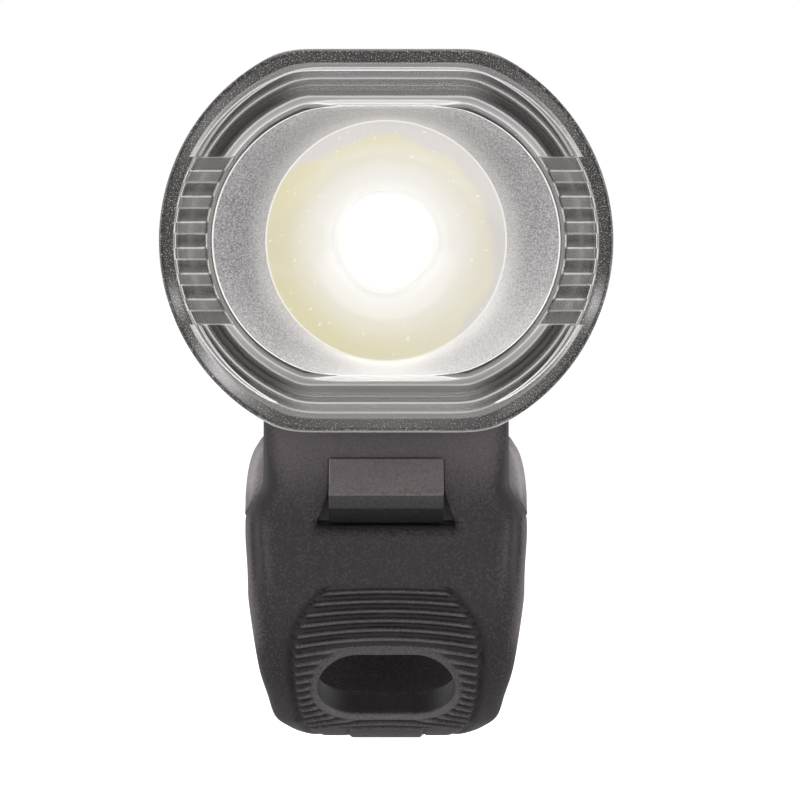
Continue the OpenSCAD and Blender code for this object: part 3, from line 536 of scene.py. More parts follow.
    back = [(0.15, skirt_deep), (skirt_t - 0.15, skirt_deep), (skirt_t, skirt_deep - 0.15),
            (skirt_t, plate_t + 0.05), (skirt_t + 0.05, plate_t), (window_end, plate_t)]
    inner = np.stack([on_axis(head_loop(u, z_side), front_y + d) for u, d in back])
    centre = np.array([0, front_y, head_z])
    pole_out = np.broadcast_to(centre + [0, window_sink, 0], outer[:1].shape)
    pole_in = np.broadcast_to(centre + [0, plate_t, 0], outer[:1].shape)
    grid = np.concatenate([pole_out, outer[::-1], inner, pole_in])
    front_rows = np.zeros((1, outer.shape[1]))
    back_rows = np.zeros((len(back) + 1, outer.shape[1]))
    notes = {}
    for name, values in (("painted_highlight", painted_highlight), ("etch", etch), ("shade", shade)):
        notes[name] = np.concatenate([front_rows, values[::-1], back_rows])
    piece = weld("front_cover", [(grid, True)], 30, notes)
    return dress(piece, clear_polycarbonate(), "clear_cover", "lamp", "lens_cover")


def reflector_bowl():
    """Metallised bowl: straight lines from a circle round the lens to the plate's outline, with a
    depth that falls with a power of the distance. A second sheet behind it gives the wall."""
    mouth_w, mouth_h, mouth_centre, mouth_soft = 17.67, 13.6, 3.79, 0.5
    bowl_deep, lip_rise = 2.25, 0.1
    wall_least, wall_most = 0.12, 0.6
    outline = side_loop(mouth_w, mouth_h, mouth_centre, mouth_soft, np.linspace(-8, 8, 41))
    angle = np.arctan2(outline[:, 1], outline[:, 0])
    circle = (lens_edge_r + 0.02) * np.stack([np.cos(angle), np.sin(angle)], 1)
    share = np.concatenate([np.linspace(0, 0.96, 14), [0.975, 0.99, 1.0]])[:, None]
    deep = bowl_deep * (1 - share) ** 1.5 - lip_rise * ease((share - 0.96) / 0.015)
    flat = circle + (outline - circle) * share[:, :, None]
    level = plate_lo[1] - 0.02 + deep + 0 * flat[..., 0]
    front = np.stack([flat[..., 0], level, flat[..., 1] + head_z], -1)
    wall = np.clip(plate_hi[1] - level, wall_least, wall_most)
    back = front + np.stack([0 * wall, wall, 0 * wall], -1)
    grid = np.concatenate([front, back[::-1], front[:1]])

    # Painted light that the lens throws on the bowl, each at an angle with a spread and an amount
    throws = [(-90, 30, 0.92), (90, 40, 0.52), (-38, 24, 0.3), (-142, 24, 0.1), (0, 30, 0.06)]
    spill = sum(amount * bell(np.degrees(angle) - at, wide) for at, wide, amount in throws)
    bright = np.broadcast_to(ease((share - 0.965) / 0.015), level.shape)
    near = np.maximum(bright, spill * (0.75 + 0.25 * (1 - share)) + 0.28 * bell(share, 0.26))
    cut = np.concatenate([near, 0 * near, near[:1]])
    piece = weld("reflector_bowl", [(grid, True)], notes={"cut": cut})
    return dress(piece, satin_metallised(), "reflector", "lamp", "reflector_plate")


def turned(profile, count, centre_z):
    """Profile of (radius, y) rows turned about the optical axis."""
    angle = full_turn(count)
    r, y = np.array(profile, float).T
    x = r[:, None] * np.cos(angle)
    z = r[:, None] * np.sin(angle)
    return np.stack([x, np.broadcast_to(y[:, None], x.shape), z + centre_z], -1)


def collimator():
    """Lens turned about its axis: a central eye lens, a ring groove, a flat face, a bright rounded
    edge, and behind them the wall that narrows to the neck with a well for the emitter."""
    wall_start_r, well_r, well_deep = 11.7, 3.2, 3.4
    eye_step, eye_crown = 0.25, 0.55
    face, end = lens_lo[1], lens_hi[1]
    share = np.linspace(0, 1, 12)
    wall_r = lens_neck_r + (wall_start_r - lens_neck_r) * (1 - share) ** 0.62
    wall_y = face + flange_t + (end - face - flange_t) * share
    eye_r = np.linspace(0, lens_eye_r - 0.1, 10)
    eye_face = face - eye_step - eye_crown * hump(eye_r / lens_eye_r)
    rim = [(lens_eye_r, face - 0.12), (lens_eye_r + 0.12, face - 0.2), (8.5, face - 0.24),
           (lens_edge_r - 0.25, face - 0.2), (lens_edge_r - 0.06, face - 0.12), (lens_edge_r, face),
           (flange_r, face), (flange_r, face + flange_t)]
    well = [(well_r, end), (well_r, end - well_deep), (0, end - well_deep)]
    profile = list(zip(eye_r, eye_face)) + rim + list(zip(wall_r, wall_y)) + well
    piece = weld("collimator", [(turned(profile, 96, head_z), True)])
    return dress(piece, lit_acrylic(), "collimator", "lamp", "collimator_lens")


def edge_along_ray(distance, centre, outer):
    """Points where rays from a centre to outer points leave a hole, found by halving the interval."""
    low, high = np.zeros(len(outer)), np.ones(len(outer))
    for step in range(40):
        mid = (low + high) / 2
        at = centre + (outer - centre) * mid[:, None]
        inside = distance(at[:, 0], at[:, 1]) < 0
        low, high = np.where(inside, mid, low), np.where(inside, high, mid)
    return centre + (outer - centre) * high[:, None]


def patch_borders(border, z_mid):
    """Cuts a flat outline into six patches: four corners, one above z_mid and one below it. Each is
    a closed list of points, and neighbours share the points of the line between them."""
    right = np.flatnonzero(border[:, 0] > 0)
    level = right[np.argmin(np.abs(border[right, 1]))]
    high = border[:, 1].max()
    flat = np.flatnonzero(border[:, 1] > high - 1e-6)
    first, last = flat[0], flat[-1]
    x_cut = border[first, 0]
    climb = np.concatenate([np.linspace(0, z_mid, 5), np.linspace(z_mid, high, 11)[1:]])
    rise = np.concatenate([-climb[:0:-1], climb])
    axis = len(climb) - 1
    mid = axis + 4
    upright = np.stack([np.full(len(rise), x_cut), rise], 1)
    far = (upright * [-1, 1])[::-1]
    sill = np.stack([np.linspace(x_cut, border[level, 0], 9), np.zeros(9)], 1)
    corner = np.concatenate([border[level:first + 1], upright[axis:-1][::-1], sill[1:-1]])
    bar = np.stack([np.linspace(-x_cut, x_cut, 15), np.full(15, z_mid)], 1)
    top = border[first + 1:last]
    above = np.concatenate([upright[mid:], top, far[:len(rise) - mid], bar[1:-1]])
    below = np.concatenate([bar[::-1], far[len(rise) - mid:], -top, upright[:mid]])
    return [corner, corner * [-1, 1], corner * [1, -1], -corner], above, below


def back_cover():
    """Rear cover: (inset, y) rows carried round the housing's outline to a flat back of patches. In
    a patch straight lines run from a hole's edge to the border; screw sinks, flap pocket and port
    are holes."""
    low, high = box_mm("rear_cover")
    screw_lo, screw_hi = box_mm("rear_cover_screws")
    flap_lo, flap_hi = box_mm("usb_flap")
    port_lo, port_hi = box_mm("usb_socket")
    inset = half_w - high[0]
    wall, edge, head_r, head_t, gap, bevel = 2.6, 2.2, 1.9, 1.5, 0.3, 0.2
    y0, y1 = low[1], high[1]
    screw = np.array([screw_hi[0] - head_r, (screw_hi[2] - screw_lo[2]) / 2 - head_r])
    seat_y = screw_hi[1] - head_t
    pocket = np.array([flap_hi[0] + gap, (flap_hi[2] - flap_lo[2]) / 2 + gap])
    pocket_y = y1 - (flap_hi[1] - flap_lo[1]) + 0.45
    pocket_z = (flap_hi[2] + flap_lo[2]) / 2 - head_z
    port = np.array([port_hi[0] + gap, (port_hi[2] - port_lo[2]) / 2 + gap])
    z_side = np.linspace(-8, 8, 33)
    quarters = [np.array(side) for side in ((1, 1), (-1, 1), (1, -1), (-1, -1))]

    def loop(inward):
        """Outline of the head drawn in evenly, with crisp corners."""
        return side_loop(half_w - inward, half_h - inward, side_spread / 2, 0.12, z_side)

    def boxed(size, corner):
        """Distance to a rounded box of half sizes round the pocket's middle."""
        return lambda x, z: box_distance(np.abs(x) - size[0], np.abs(z - pocket_z) - size[1], corner)

    def fan(inner, outer, y, count):
        """Flat patch: straight lines from inner to outer points, in even steps."""
        flat = inner + (outer - inner) * np.linspace(0, 1, count)[:, None, None]
        return np.stack([on_axis(ring, y) for ring in flat]), True

    rows = [(inset + wall, y1 - wall), (inset + wall, y0), (inset + 0.25, y0), (inset, y0 + 0.25),
            (inset, y1 - edge)]
    rows += [(inset + edge * (1 - math.cos(t)), y1 - edge * (1 - math.sin(t)))
             for t in quarter_turn()[1:]]
    blocks = [(np.stack([on_axis(loop(u), y) for u, y in rows]), True)]

    z_mid = pocket_z - pocket[1] - 1.5
    middle = np.array([0, pocket_z])
    heart = np.array([0, z_mid - 8])
    corners, above, below = patch_borders(loop(inset + edge), z_mid)
    rim = head_r + 0.2
    sink = [(rim + bevel, y1), (rim + 0.06, y1 - 0.06), (rim, y1 - bevel), (rim, seat_y), (0, seat_y)]
    for border, side in zip(corners, quarters):
        centre = screw * side
        ray = (border - centre) / np.linalg.norm(border - centre, axis=1)[:, None]
        blocks.append(fan(centre + (rim + bevel) * ray, border, y1, 8))
        blocks.append((np.stack([on_axis(centre + r * ray, y) for r, y in sink]), True))
    mouth = edge_along_ray(boxed(pocket + bevel, 1.6), middle, above)
    neck = edge_along_ray(boxed(pocket, 1.4), middle, above)
    hole = edge_along_ray(boxed(port, port[1] - 0.01), middle, above)
    blocks.append(fan(mouth, above, y1, 8))
    blocks.append((np.stack([on_axis(mouth, y1), on_axis((mouth + 2 * neck) / 3, y1 - 0.07),
                             on_axis(neck, y1 - bevel), on_axis(neck, pocket_y)]), True))
    blocks.append(fan(hole, neck, pocket_y, 6))
    blocks.append(fan(np.broadcast_to(heart, below.shape), below, y1, 12))

    # The same patches again on the inner face
    corners, above, below = patch_borders(loop(inset + wall), z_mid)
    for border, side in zip(corners, quarters):
        blocks.append(fan(np.broadcast_to(screw * side, border.shape), border, y1 - wall, 2))
    inner = edge_along_ray(boxed(port, port[1] - 0.01), middle, above)
    blocks.append(fan(inner, above, y1 - wall, 2))
    blocks.append((np.stack([on_axis(hole, pocket_y), on_axis(inner, y1 - wall)]), True))
    blocks.append(fan(np.broadcast_to(heart, below.shape), below, y1 - wall, 2))
    return dress(weld("back_cover", blocks, 35), housing_abs, "rear_plastic", "lamp", "rear_cover")


def strap_angle(s):
    """Angle round the bar, below the front, of a distance along the strap; 0 on the neck."""
    return np.clip(s, 0, s_under) / strap_ro


def strap_half(s):
    """Half width of the strap along its length: an eased neck with wings below it, then sides that
    are drawn in down to the bar's lowest line and on to the tail's width, with a waist and a swell."""
    drawn = 3.1
    deg = np.degrees(strap_angle(s))
    low = strap_w / 2 - drawn * (np.hypot(np.minimum(deg, 90), 4) - 4) / 86
    low = low - (strap_w / 2 - drawn - tail_w / 2) * ease((deg - 44) / 66) - 0.35 * bell(deg - 48, 9)
    low = low + 0.45 * ease((deg - 85) / 20) * ease((165 - deg) / 20)
    neck = neck_w / 2 + (strap_w - neck_w) / 2 * ease((lug_top - 2.0 + s) / 4.0)
    return np.where(s < 0, neck, low) + 0.28 * bell(s + 6.4, 3.4)


def finger_hole(x, s):
    """Distance to the finger hole's edge, a stadium across the strap; below zero inside it."""
    long = (hole_w - hole_h) / 2
    return np.hypot(np.maximum(np.abs(x) - long, 0), s - hole_s) - hole_h / 2


def lug_slot(x, s):
    """Distance to the lug slot's edge, a tapered box with round corners; below zero inside it."""
    top, low = -(lug_top + 0.45), -(lug_top - lug_h - 0.2)
    half = lug_w / 2 + 0.06 + 1.2 * np.clip((s - low + 3.6) / 3.6, 0, 1)
    return box_distance(np.abs(x) - half, np.abs(s - (top + low) / 2) - (low - top) / 2, 0.3)


def grip(x, s):
    """Height and painted light of the grip: arched rows inside a panel, a groove round it, a raised rim
    round the finger hole, and pads stepped down to both sides under the bar. Crests and the hole's rim
    are painted pale as highlights, and the groove dark as painted shade."""
    row_pitch, widest_deg, widest = 3.45, 25.6, 9.8
    deg = np.degrees(s / strap_ro)
    spread = (x / 8.5) ** 2
    row = (deg - 1.4 * spread) / (row_pitch + 0.25 * spread)
    drawn_above = 3.6 * np.clip((widest_deg - deg) / 26.6, 0, 1.2) ** 2.3
    drawn_below = 1.27 * np.clip((deg - widest_deg) / 37.4, 0, 2) ** 1.9
    across = np.abs(x)
    inside = widest - drawn_above - drawn_below - across
    edge = finger_hole(x, s)
    above = np.clip((hole_s - s) / (hole_h / 2), 0, 1)
    below = np.clip((s - hole_s) / (hole_h / 2), 0, 1)
    wide = 0.95 + 0.55 * above
    panel = ease(inside / 0.45) * ease((row + 0.55) / 0.3)
    panel = panel * ease((66 - deg) / 4) * ease((edge - 0.45 * wide) / 0.6)
    crest = (0.5 + 0.5 * np.cos(2 * np.pi * row)) ** 0.9
    rim = bell(np.maximum(edge, 0), wide)
    around = ease((deg + 2.2) / 2) * ease((95 - deg) / 6)
    groove = bell(inside + 0.12, 0.32) * around
    step = ease((deg - 58) / 12) * ease((150 - deg) / 20)
    pads = step * (0.22 * ease((across - 3.8) / 0.2) + 0.26 * bell(across - 3.9, 0.2))
    height = np.maximum(panel * (0.7 * crest - 0.2) * (1 - groove), grip_h * rim) - 0.28 * groove - pads
    # Painted highlight on the crests and the finger hole's rim, most on its lower side; painted shade
    # in the groove
    painted_light = panel * (crest - 0.6) * (1 - groove) + (0.4 + 0.2 * below) * rim - 0.7 * groove
    return height, painted_light


def strap_point(x, s, radius):
    """Point of the strap: straight down the neck, round the bar, and straight up behind it."""
    turn = strap_angle(s)
    y = -radius * np.cos(turn)
    z = -radius * np.sin(turn) - np.minimum(s, 0) + np.maximum(s - s_under, 0)
    return np.stack([x, y, z], -1)


def hole_block(distance, centre, columns, s0, s1, sides, rings):
    """Rings of flat points from a hole's edge out to a full-width stretch of the strap."""
    down = np.linspace(s0, s1, sides + 2)
    flat = [np.stack([columns * strap_half(s0), np.full(len(columns), s0)], 1),
            np.stack([strap_half(down), down], 1)[1:-1],
            np.stack([columns[::-1] * strap_half(s1), np.full(len(columns), s1)], 1),
            np.stack([-strap_half(down), down], 1)[-2:0:-1]]
    outer = np.concatenate(flat)
    inner = edge_along_ray(distance, np.array(centre), outer)
    share = (0.5 - 0.5 * np.cos(np.linspace(0, math.pi, rings)))[:, None, None]
    return inner + (outer - inner) * share, True


def strip_block(columns, rows):
    """Full-width stretch of the strap as flat points, one row at each distance along it."""
    x = columns[None, :] * strap_half(rows)[:, None]
    return np.stack([x, np.broadcast_to(rows[:, None], x.shape)], -1), False


def rubber_strap():
    """One continuous strap. Flat points (across, along) are raised to an outer and an inner skin by
    their distance to the edges, the skins are joined along every edge, and the eye closes the rear."""
    round_r, margin, fine_rows = 0.4, 1.9, 2.5
    near_edge = np.array([0.004, 0.012, 0.022, 0.045])
    columns = np.unique(np.concatenate([np.linspace(-1, 1, 81), 1 - near_edge, near_edge - 1]))
    slot_mid = -(lug_top - lug_h / 2)
    s_end = s_under + eye_z - 1.2
    top_rows = s_top + np.array([0, 0.05, 0.15, 0.3, 0.6, 1.2, 1.9])
    slot_end, grip_row = -4.6, -0.9
    hole_start, hole_end = hole_s - hole_h / 2 - margin, hole_s + hole_h / 2 + margin
    blocks = [
        strip_block(columns, top_rows),
        hole_block(lug_slot, (0, slot_mid), columns, top_rows[-1], slot_end, 40, 28),
        strip_block(columns, np.linspace(slot_end, grip_row, 12)),
        strip_block(columns, np.linspace(grip_row, hole_start, 62)),
        hole_block(finger_hole, (0, hole_s), columns, hole_start, hole_end, 110, 40),
        strip_block(columns, np.linspace(hole_end, hole_end + fine_rows, 26)),
        strip_block(columns, np.linspace(hole_end + fine_rows, s_end, 70))]
    skins, painted_light_parts = [], []
    for flat, around in blocks:
        x, s = flat[..., 0], flat[..., 1]
        side = strap_half(s) - np.abs(x)
        slot, hole = lug_slot(x, s), finger_hole(x, s)
        below_lug = ease((s - slot_mid - lug_h * 0.35) / 1.2)
        lean = 0.02 * np.maximum(-s - 8, 0) ** 2
        fold = ease((s + 9) / 3) * ease((2.5 - s) / 6)
        under = ease((np.degrees(s / strap_ro) - 35) / 30)
        step = fold * (0.7 * ease((1.7 - side) / 0.9) - 0.14 * bell(side - 2.1, 0.5))
        rolled = soft_edge(side, 2.6 - 1.5 * fold, 1.6 - 0.5 * lean - 0.8 * np.maximum(fold, under))
        ends = np.maximum(roundover(s - s_top, round_r), roundover(s_end - s, round_r))
        ends = np.maximum(ends, roundover(hole, round_r))
        drop = np.maximum.reduce([rolled, ends, roundover(slot, 0.08 + 1.7 * below_lug)])
        inset = np.maximum.reduce([roundover(side, 0.6), ends, roundover(slot, round_r)])
        height, painted_light = grip(x, s)
        skins.append((strap_point(x, s, strap_ro - (lean + step + drop) + height), around))
        skins.append((strap_point(x, s, strap_ri + inset), around))
        # Painted highlight along the wings' edges and below the lug, where the lug's shadow falls;
        # painted shade in the folds, and the neck's edges kept dark
        painted_light_marks = 0.5 * bell(side, 0.9) * ease((8 - s) / 4) * ease((s + 10) / 4)
        painted_light_marks = painted_light_marks + 0.22 * bell(side - 2.1, 0.6) * fold - 0.3 * fold * hump((side - 1.15) / 0.7)
        painted_light_marks = painted_light_marks - 0.9 * bell(side, 1.3) * ease((-s - 7) / 3)
        painted_light_marks = painted_light_marks + 0.2 * below_lug * ease((1.9 - slot) / 1.5)
        # Painted highlight up the neck, lighter towards its top
        painted_light_parts += [painted_light + painted_light_marks + ease((-s - 7) / 11), np.zeros(x.shape)]
    walls = []
    for (out, around), (back, same) in zip(skins[::2], skins[1::2]):
        edges = [(out[:, 0], back[:, 0]), (out[:, -1], back[:, -1])]
        if around:
            walls.append((np.stack([out[0], 0.8 * out[0] + 0.2 * back[0], back[0]]), True))
            down = (out.shape[1] - 2 * len(columns)) // 2
            right = np.arange(len(columns) - 1, len(columns) + down + 1)
            left = np.r_[2 * len(columns) + down - 1:out.shape[1], 0]
            edges = [(out[-1, right], back[-1, right]), (out[-1, left], back[-1, left])]
        walls += [(np.stack(pair), False) for pair in edges]
    walls.append((np.stack([skins[0][0][0], skins[1][0][0]]), False))
    walls.append((np.stack([skins[-2][0][-1], skins[-1][0][-1]]), False))
    turn = full_turn(40)
    wide, bore, outer = tail_w / 2, pin_r + 0.05, pin_r + 1.65
    eye = []
    for x, r in [(-wide, bore), (-wide, outer - round_r), (-wide + round_r, outer),
                 (wide - round_r, outer), (wide, outer - round_r), (wide, bore), (-wide, bore)]:
        eye.append(np.stack([np.full(40, x), eye_y + r * np.cos(turn), eye_z + r * np.sin(turn)], 1))
    walls.append((np.stack(eye), True))
    # A hole's wall is the one with three rows, and it is darker: painted shade
    painted_light_parts += [np.full(wall.shape[:2], -0.45 if len(wall) == 3 else 0.0) for wall, around in walls]
    painted_light = np.concatenate([part.reshape(-1) for part in painted_light_parts])
    piece = weld("rubber_strap", skins + walls, 50, {"painted_light": painted_light})
    dress(piece, silicone, "strap_silicone", None, "strap_front", "strap_rear")
    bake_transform(piece)
    return piece


def fillet(corners, radius, steps=5):
    """Closed outline with each corner replaced by a parabola that starts and ends radius away."""
    corners = np.array(corners, float)
    before, after = np.roll(corners, 1, 0), np.roll(corners, -1, 0)
    a = corners + (before - corners) / np.linalg.norm(before - corners, axis=1)[:, None] * radius
    b = corners + (after - corners) / np.linalg.norm(after - corners, axis=1)[:, None] * radius
    t = np.linspace(0, 1, steps)[None, :, None]
    curve = a[:, None] * (1 - t) ** 2 + corners[:, None] * 2 * t * (1 - t) + b[:, None] * t * t
    return curve.reshape(-1, 2)


def slab(outline, x0, x1, edge):
    """Side outline of (y, z) points stretched across X, with its ends rounded by drawing it in and
    closed by drawing it in to its middle."""
    middle = outline.mean(0)
    reach = np.linalg.norm(outline - middle, axis=1)[:, None]
    all_in = 2 * reach.max()
    turn = quarter_turn(5)
    stations = list(zip(edge * (1 - np.cos(turn)), edge * (1 - np.sin(turn))))
    rows = [(x0, all_in)] + [(x0 + shift, draw) for shift, draw in stations]
    rows += [(x1 - shift, draw) for shift, draw in stations[::-1]] + [(x1, all_in)]
    grid = []
    for x, draw in rows:
        flat = middle + (outline - middle) * np.clip(1 - draw / reach, 0, 1)
        grid.append(np.column_stack([np.full(len(flat), x), flat]))
    return np.stack(grid), True


def mount_saddle():
    """Saddle and stem: at each station along Y a front outline that rises from the saddle's circle
    to round shoulders and a narrower stem, drawn in at both ends; with the lug and the two ears."""
    foot, stem_half, half = base_lo[2] + 0.2, 12.0, base_hi[0]
    shoulder_top, face, saddle_r, edge = 15.6, 13.1, 14.7, 2.2
    housing_lo, housing_hi = box_mm("main_housing")
    housing_r = side_r - (half_w - housing_hi[0])
    share = np.linspace(0, 1, 30)
    flank = stem_half + (half - stem_half) * np.clip(1 - share ** 2.4, 0, 1) ** 0.36
    curve = face - edge * (1 - np.cos(quarter_turn()))
    ys = np.concatenate([-curve, np.linspace(-face + edge, face - edge, 40)[1:-1], curve[::-1]])
    past = np.clip(np.abs(ys) - face + edge, 0, edge)
    draws = edge - np.sqrt(np.clip(edge ** 2 - past ** 2, 0, None))
    rows = []
    for y, draw in zip(ys, draws):
        bottom = max(foot, math.sqrt(saddle_r ** 2 - y ** 2))
        side_z = bottom + (shoulder_top - bottom) * share
        side_x = np.interp(side_z, foot + (shoulder_top - foot) * share, flank)
        side_x = side_x - draw * ease((side_z - 7.5) / 4) - 0.65 * ease((8.0 - side_z) / 0.9)
        seat_x = (stem_half - draw) * np.array([1, 0.97, 0.93, 0.89, 0.85, 0.8, 0.7, 0])
        arch = np.sqrt(housing_r ** 2 - np.maximum(seat_x - side_spread / 2, 0) ** 2)
        seat_z = head_z - np.minimum(arch, head_z - housing_lo[2]) - 0.03
        right = np.concatenate([
            np.stack([np.linspace(0, side_x[0], 8), np.full(8, bottom)], 1),
            np.stack([side_x, side_z], 1),
            np.stack([seat_x, seat_z], 1)])
        loop = np.concatenate([right, right[-2:0:-1] * [-1, 1]])
        rows.append(np.column_stack([loop[:, 0], np.full(len(loop), y), loop[:, 1]]))
    grid = np.stack(rows)
    ends = [np.broadcast_to(row.mean(0), row.shape)[None] for row in (grid[0], grid[-1])]
    body = np.concatenate([ends[0], grid, ends[1]])

    # Lug: a wedge whose sloping face ends at its nose, with a hooked underside
    top, root_y, under_z = lug_top + 0.43, -12, 7.1
    lug = fillet([(root_y, top), (-13.1, top), (-16.25, top - 0.05), (lug_nose_y, lug_foot_z),
                  (lug_nose_y + 0.5, 8.7), (-15.8, under_z), (root_y, under_z)], 0.14)
    hook, around = slab(lug, -lug_w / 2, lug_w / 2, 0.1)
    blocks = [(body, True), (hook, around)]

    # Painted highlight where side light catches the stem's flanks and the lug's face, brighter towards
    # the face's top; painted shade under the lug
    flank_pale = ease((body[..., 2] - 8.5) / 3) * ease((np.abs(body[..., 0]) - 11) / 1)
    flank_pale = flank_pale * ease((-8.0 - body[..., 1]) / 3)
    hook_y, hook_z = hook[..., 1], hook[..., 2]
    face_pale = ease((hook_z - 9.9) / 0.3) * ease((-15.8 - hook_y) / 0.4)
    fade = 0.74 - 0.3 * ease((top - hook_z) / (top - lug_foot_z))
    painted_light_parts = [0.65 * flank_pale, fade * face_pale - 0.9 * ease((lug_foot_z - hook_z) / 0.15)]

    # Ears: a disc round the pin drawn out forwards to the saddle, with softened rims
    angle = full_turn(48)
    ray = np.stack([np.cos(angle), np.sin(angle)], 1)
    ear_r, soft = pin_r + 1.9, 0.4
    web = eye_y - 12.2
    rim = edge_along_ray(
        lambda y, z: np.hypot(y - np.clip(y, -web, 0), z) - ear_r, np.zeros(2), 9 * ray)
    centre = np.array([eye_y, eye_z])
    for side in (-1, 1):
        inner, outer = side * (tail_w / 2 + 0.2), side * (pin_hi[0] + 0.2)
        rings = [(inner, pin_r * ray), (inner, rim * 0.9), (inner + soft * side, rim),
                 (outer - soft * side, rim), (outer, rim * 0.9), (outer, pin_r * ray),
                 (inner, pin_r * ray)]
        ear = [np.column_stack([np.full(48, x), centre + flat]) for x, flat in rings]
        blocks.append((np.stack(ear), True))
    painted_light_parts += [np.zeros(block.shape[:2]) for block, around in blocks[2:]]
    painted_light = np.concatenate([part.reshape(-1) for part in painted_light_parts])
    piece = weld("mount_saddle", blocks, 40, {"painted_light": painted_light})
    return dress(piece, base_nylon, "base_plastic", "lamp", "mount_base")


def pad_loop(half_u, half_v, corner, inset):
    """Rounded rectangle, drawn in by an inset: each straight side and each quarter in even steps."""
    r = max(corner - inset, 0.05)
    turn = quarter_turn()
    flat_u, flat_v = half_u - inset - r, half_v - inset - r
    quarter = np.stack([flat_u + r * np.cos(turn), flat_v + r * np.sin(turn)], 1)
    top = np.stack([np.linspace(flat_u, -flat_u, 15)[1:-1], np.full(13, flat_v + r)], 1)
    second = quarter[::-1] * [-1, 1]
    left = np.stack([np.full(9, -flat_u - r), np.linspace(flat_v, -flat_v, 11)[1:-1]], 1)
    half = np.concatenate([quarter, top, second, left])
    return np.concatenate([half, -half])


def soft_pad(half_u, half_v, corner, low, high, edge, relief):
    """Rounded block over a rounded rectangle: flat below, a quarter-round edge, and a top that
    follows a relief. Points are (u, v, height), in rings that shrink to a middle line."""
    spine = np.array([max(half_u - half_v, 0), max(half_v - half_u, 0)])

    def ring(inset, share, height):
        """One ring: the outline drawn in by an inset, then shrunk towards the middle line."""
        flat = pad_loop(half_u, half_v, corner, inset)
        middle = np.clip(flat, -spine, spine)
        flat = middle + (flat - middle) * share
        raised = relief(flat[:, 0], flat[:, 1]) if inset >= edge else np.zeros(len(flat))
        return np.column_stack([flat, height + raised])

    rings = [ring(0, 0, low), ring(0, 0.9, low), ring(0, 1, low + 0.1)]
    rings += [ring(edge * (1 - math.cos(t)), 1, high - edge * (1 - math.sin(t)))
              for t in quarter_turn(6)[:-1]]
    rings += [ring(edge, share, high) for share in np.linspace(1, 0, 31)]
    return np.stack(rings)


def rubber_button():
    """Stadium button: rounded sides, a shallow dish on top and a raised oval bead in the dish."""
    low, high = box_mm("power_button")
    middle = (low + high) / 2
    half_x, half_y, edge = 4.3, 7.5, 0.9
    dish_deep, bead_rise = 0.3, 0.13

    def dish(u, v):
        """Dish and bead by the distance from the button's middle line, as a share of its half width."""
        reach = np.hypot(u, np.maximum(np.abs(v) - (half_y - half_x), 0)) / half_x
        bead = bead_rise * ease(1 - np.abs(reach - 0.4) / 0.12)
        return -dish_deep * ease((0.8 - reach) / 0.3) + bead

    block = soft_pad(half_x, half_y, half_x, low[2], high[2], edge, dish)
    grid = np.stack([block[..., 0] + middle[0], block[..., 1] + middle[1], block[..., 2]], -1)
    piece = weld("rubber_button", [(grid, True)])
    return dress(piece, button_silicone, "button_rubber", "button", "power_button")


def charging_flap():
    """Flap over the charging port: a rounded plate with a finger ridge along its upper edge and a
    bead along its hinge, and a plug on its inner face."""
    low, high = box_mm("usb_flap")
    middle = (low + high) / 2
    half_x, half_z = (high[0] - low[0]) / 2, (high[2] - low[2]) / 2
    corner, plate, rise, edge = 1.6, 1.7, 0.35, 0.4
    plug_x, plug_z, plug_long, plug_edge = 4.6, 1.5, 0.9, 0.25

    def ridges(u, v):
        """Half-round ridge near the upper edge and a lower one near the hinge, eased at their ends."""
        wide = ease((half_x - 1.6 - np.abs(u)) / 0.6)
        return rise * wide * (hump((v - half_z + 1.5) / 0.7) + 0.6 * hump((v + half_z - 1.1) / 0.5))

    block = soft_pad(half_x, half_z, corner, high[1] - plate, high[1] - rise, edge, ridges)
    grid = np.stack([block[..., 0], block[..., 2], block[..., 1] + middle[2]], -1)
    plug = soft_pad(plug_x, plug_z, plug_z, 0, plug_long, plug_edge, lambda u, v: 0 * u)
    plug_y = high[1] - plate + 0.1 - plug[..., 2]
    inner = np.stack([plug[..., 0], plug_y, plug[..., 1] + middle[2]], -1)
    piece = weld("charging_flap", [(grid, True), (inner, True)])
    return dress(piece, flap_silicone, "flap_rubber", "flap", "usb_flap")


def bar_cushion():
    """Rubber pad over the bar: an arc whose inner face carries ridges along the bar."""
    high = box_mm("bar_pad")[1]
    half, outer = high[0], high[2]
    count, ridge_rate, ridge_rise, soft_r, bevel = 181, 26, 0.3, 0.4, 0.3
    end = math.acos(high[1] / outer)
    turn = np.linspace(end, math.pi - end, count)
    ridge = ridge_rise * (0.5 + 0.5 * np.cos((turn - math.pi / 2) * ridge_rate)) ** 2
    soft = roundover(np.minimum(turn - end, math.pi - end - turn) * outer, soft_r)
    inside = bar_r + ridge_rise - ridge + soft
    above = outer - soft
    a = np.concatenate([turn, turn[::-1]])
    loops = []
    for x, draw in [(-half, bevel), (-half + bevel, 0.0), (half - bevel, 0.0), (half, bevel)]:
        r = np.concatenate([inside + draw, (above - draw)[::-1]])
        loops.append(np.stack([np.full(len(a), x), r * np.cos(a), r * np.sin(a)], 1))
    caps = [np.stack([loop[:count], loop[:count - 1:-1]]) for loop in (loops[0], loops[-1])]
    blocks = [(np.stack(loops), True)] + [(cap, False) for cap in caps]
    return dress(weld("bar_cushion", blocks), pad_silicone, "pad_rubber", "lamp", "bar_pad")


def plainly_seen(tree):
    """One for the camera's own rays and those mirrored by gloss or let through glass, else nothing."""
    rays = [add(tree, LIGHT_PATH, output=kind)
            for kind in ("Is Camera Ray", "Is Glossy Ray", "Is Transmission Ray")]
    first = add(tree, MATH, {0: rays[0], 1: rays[1]}, operation="MAXIMUM")
    return add(tree, MATH, {0: first, 1: rays[2]}, operation="MAXIMUM")


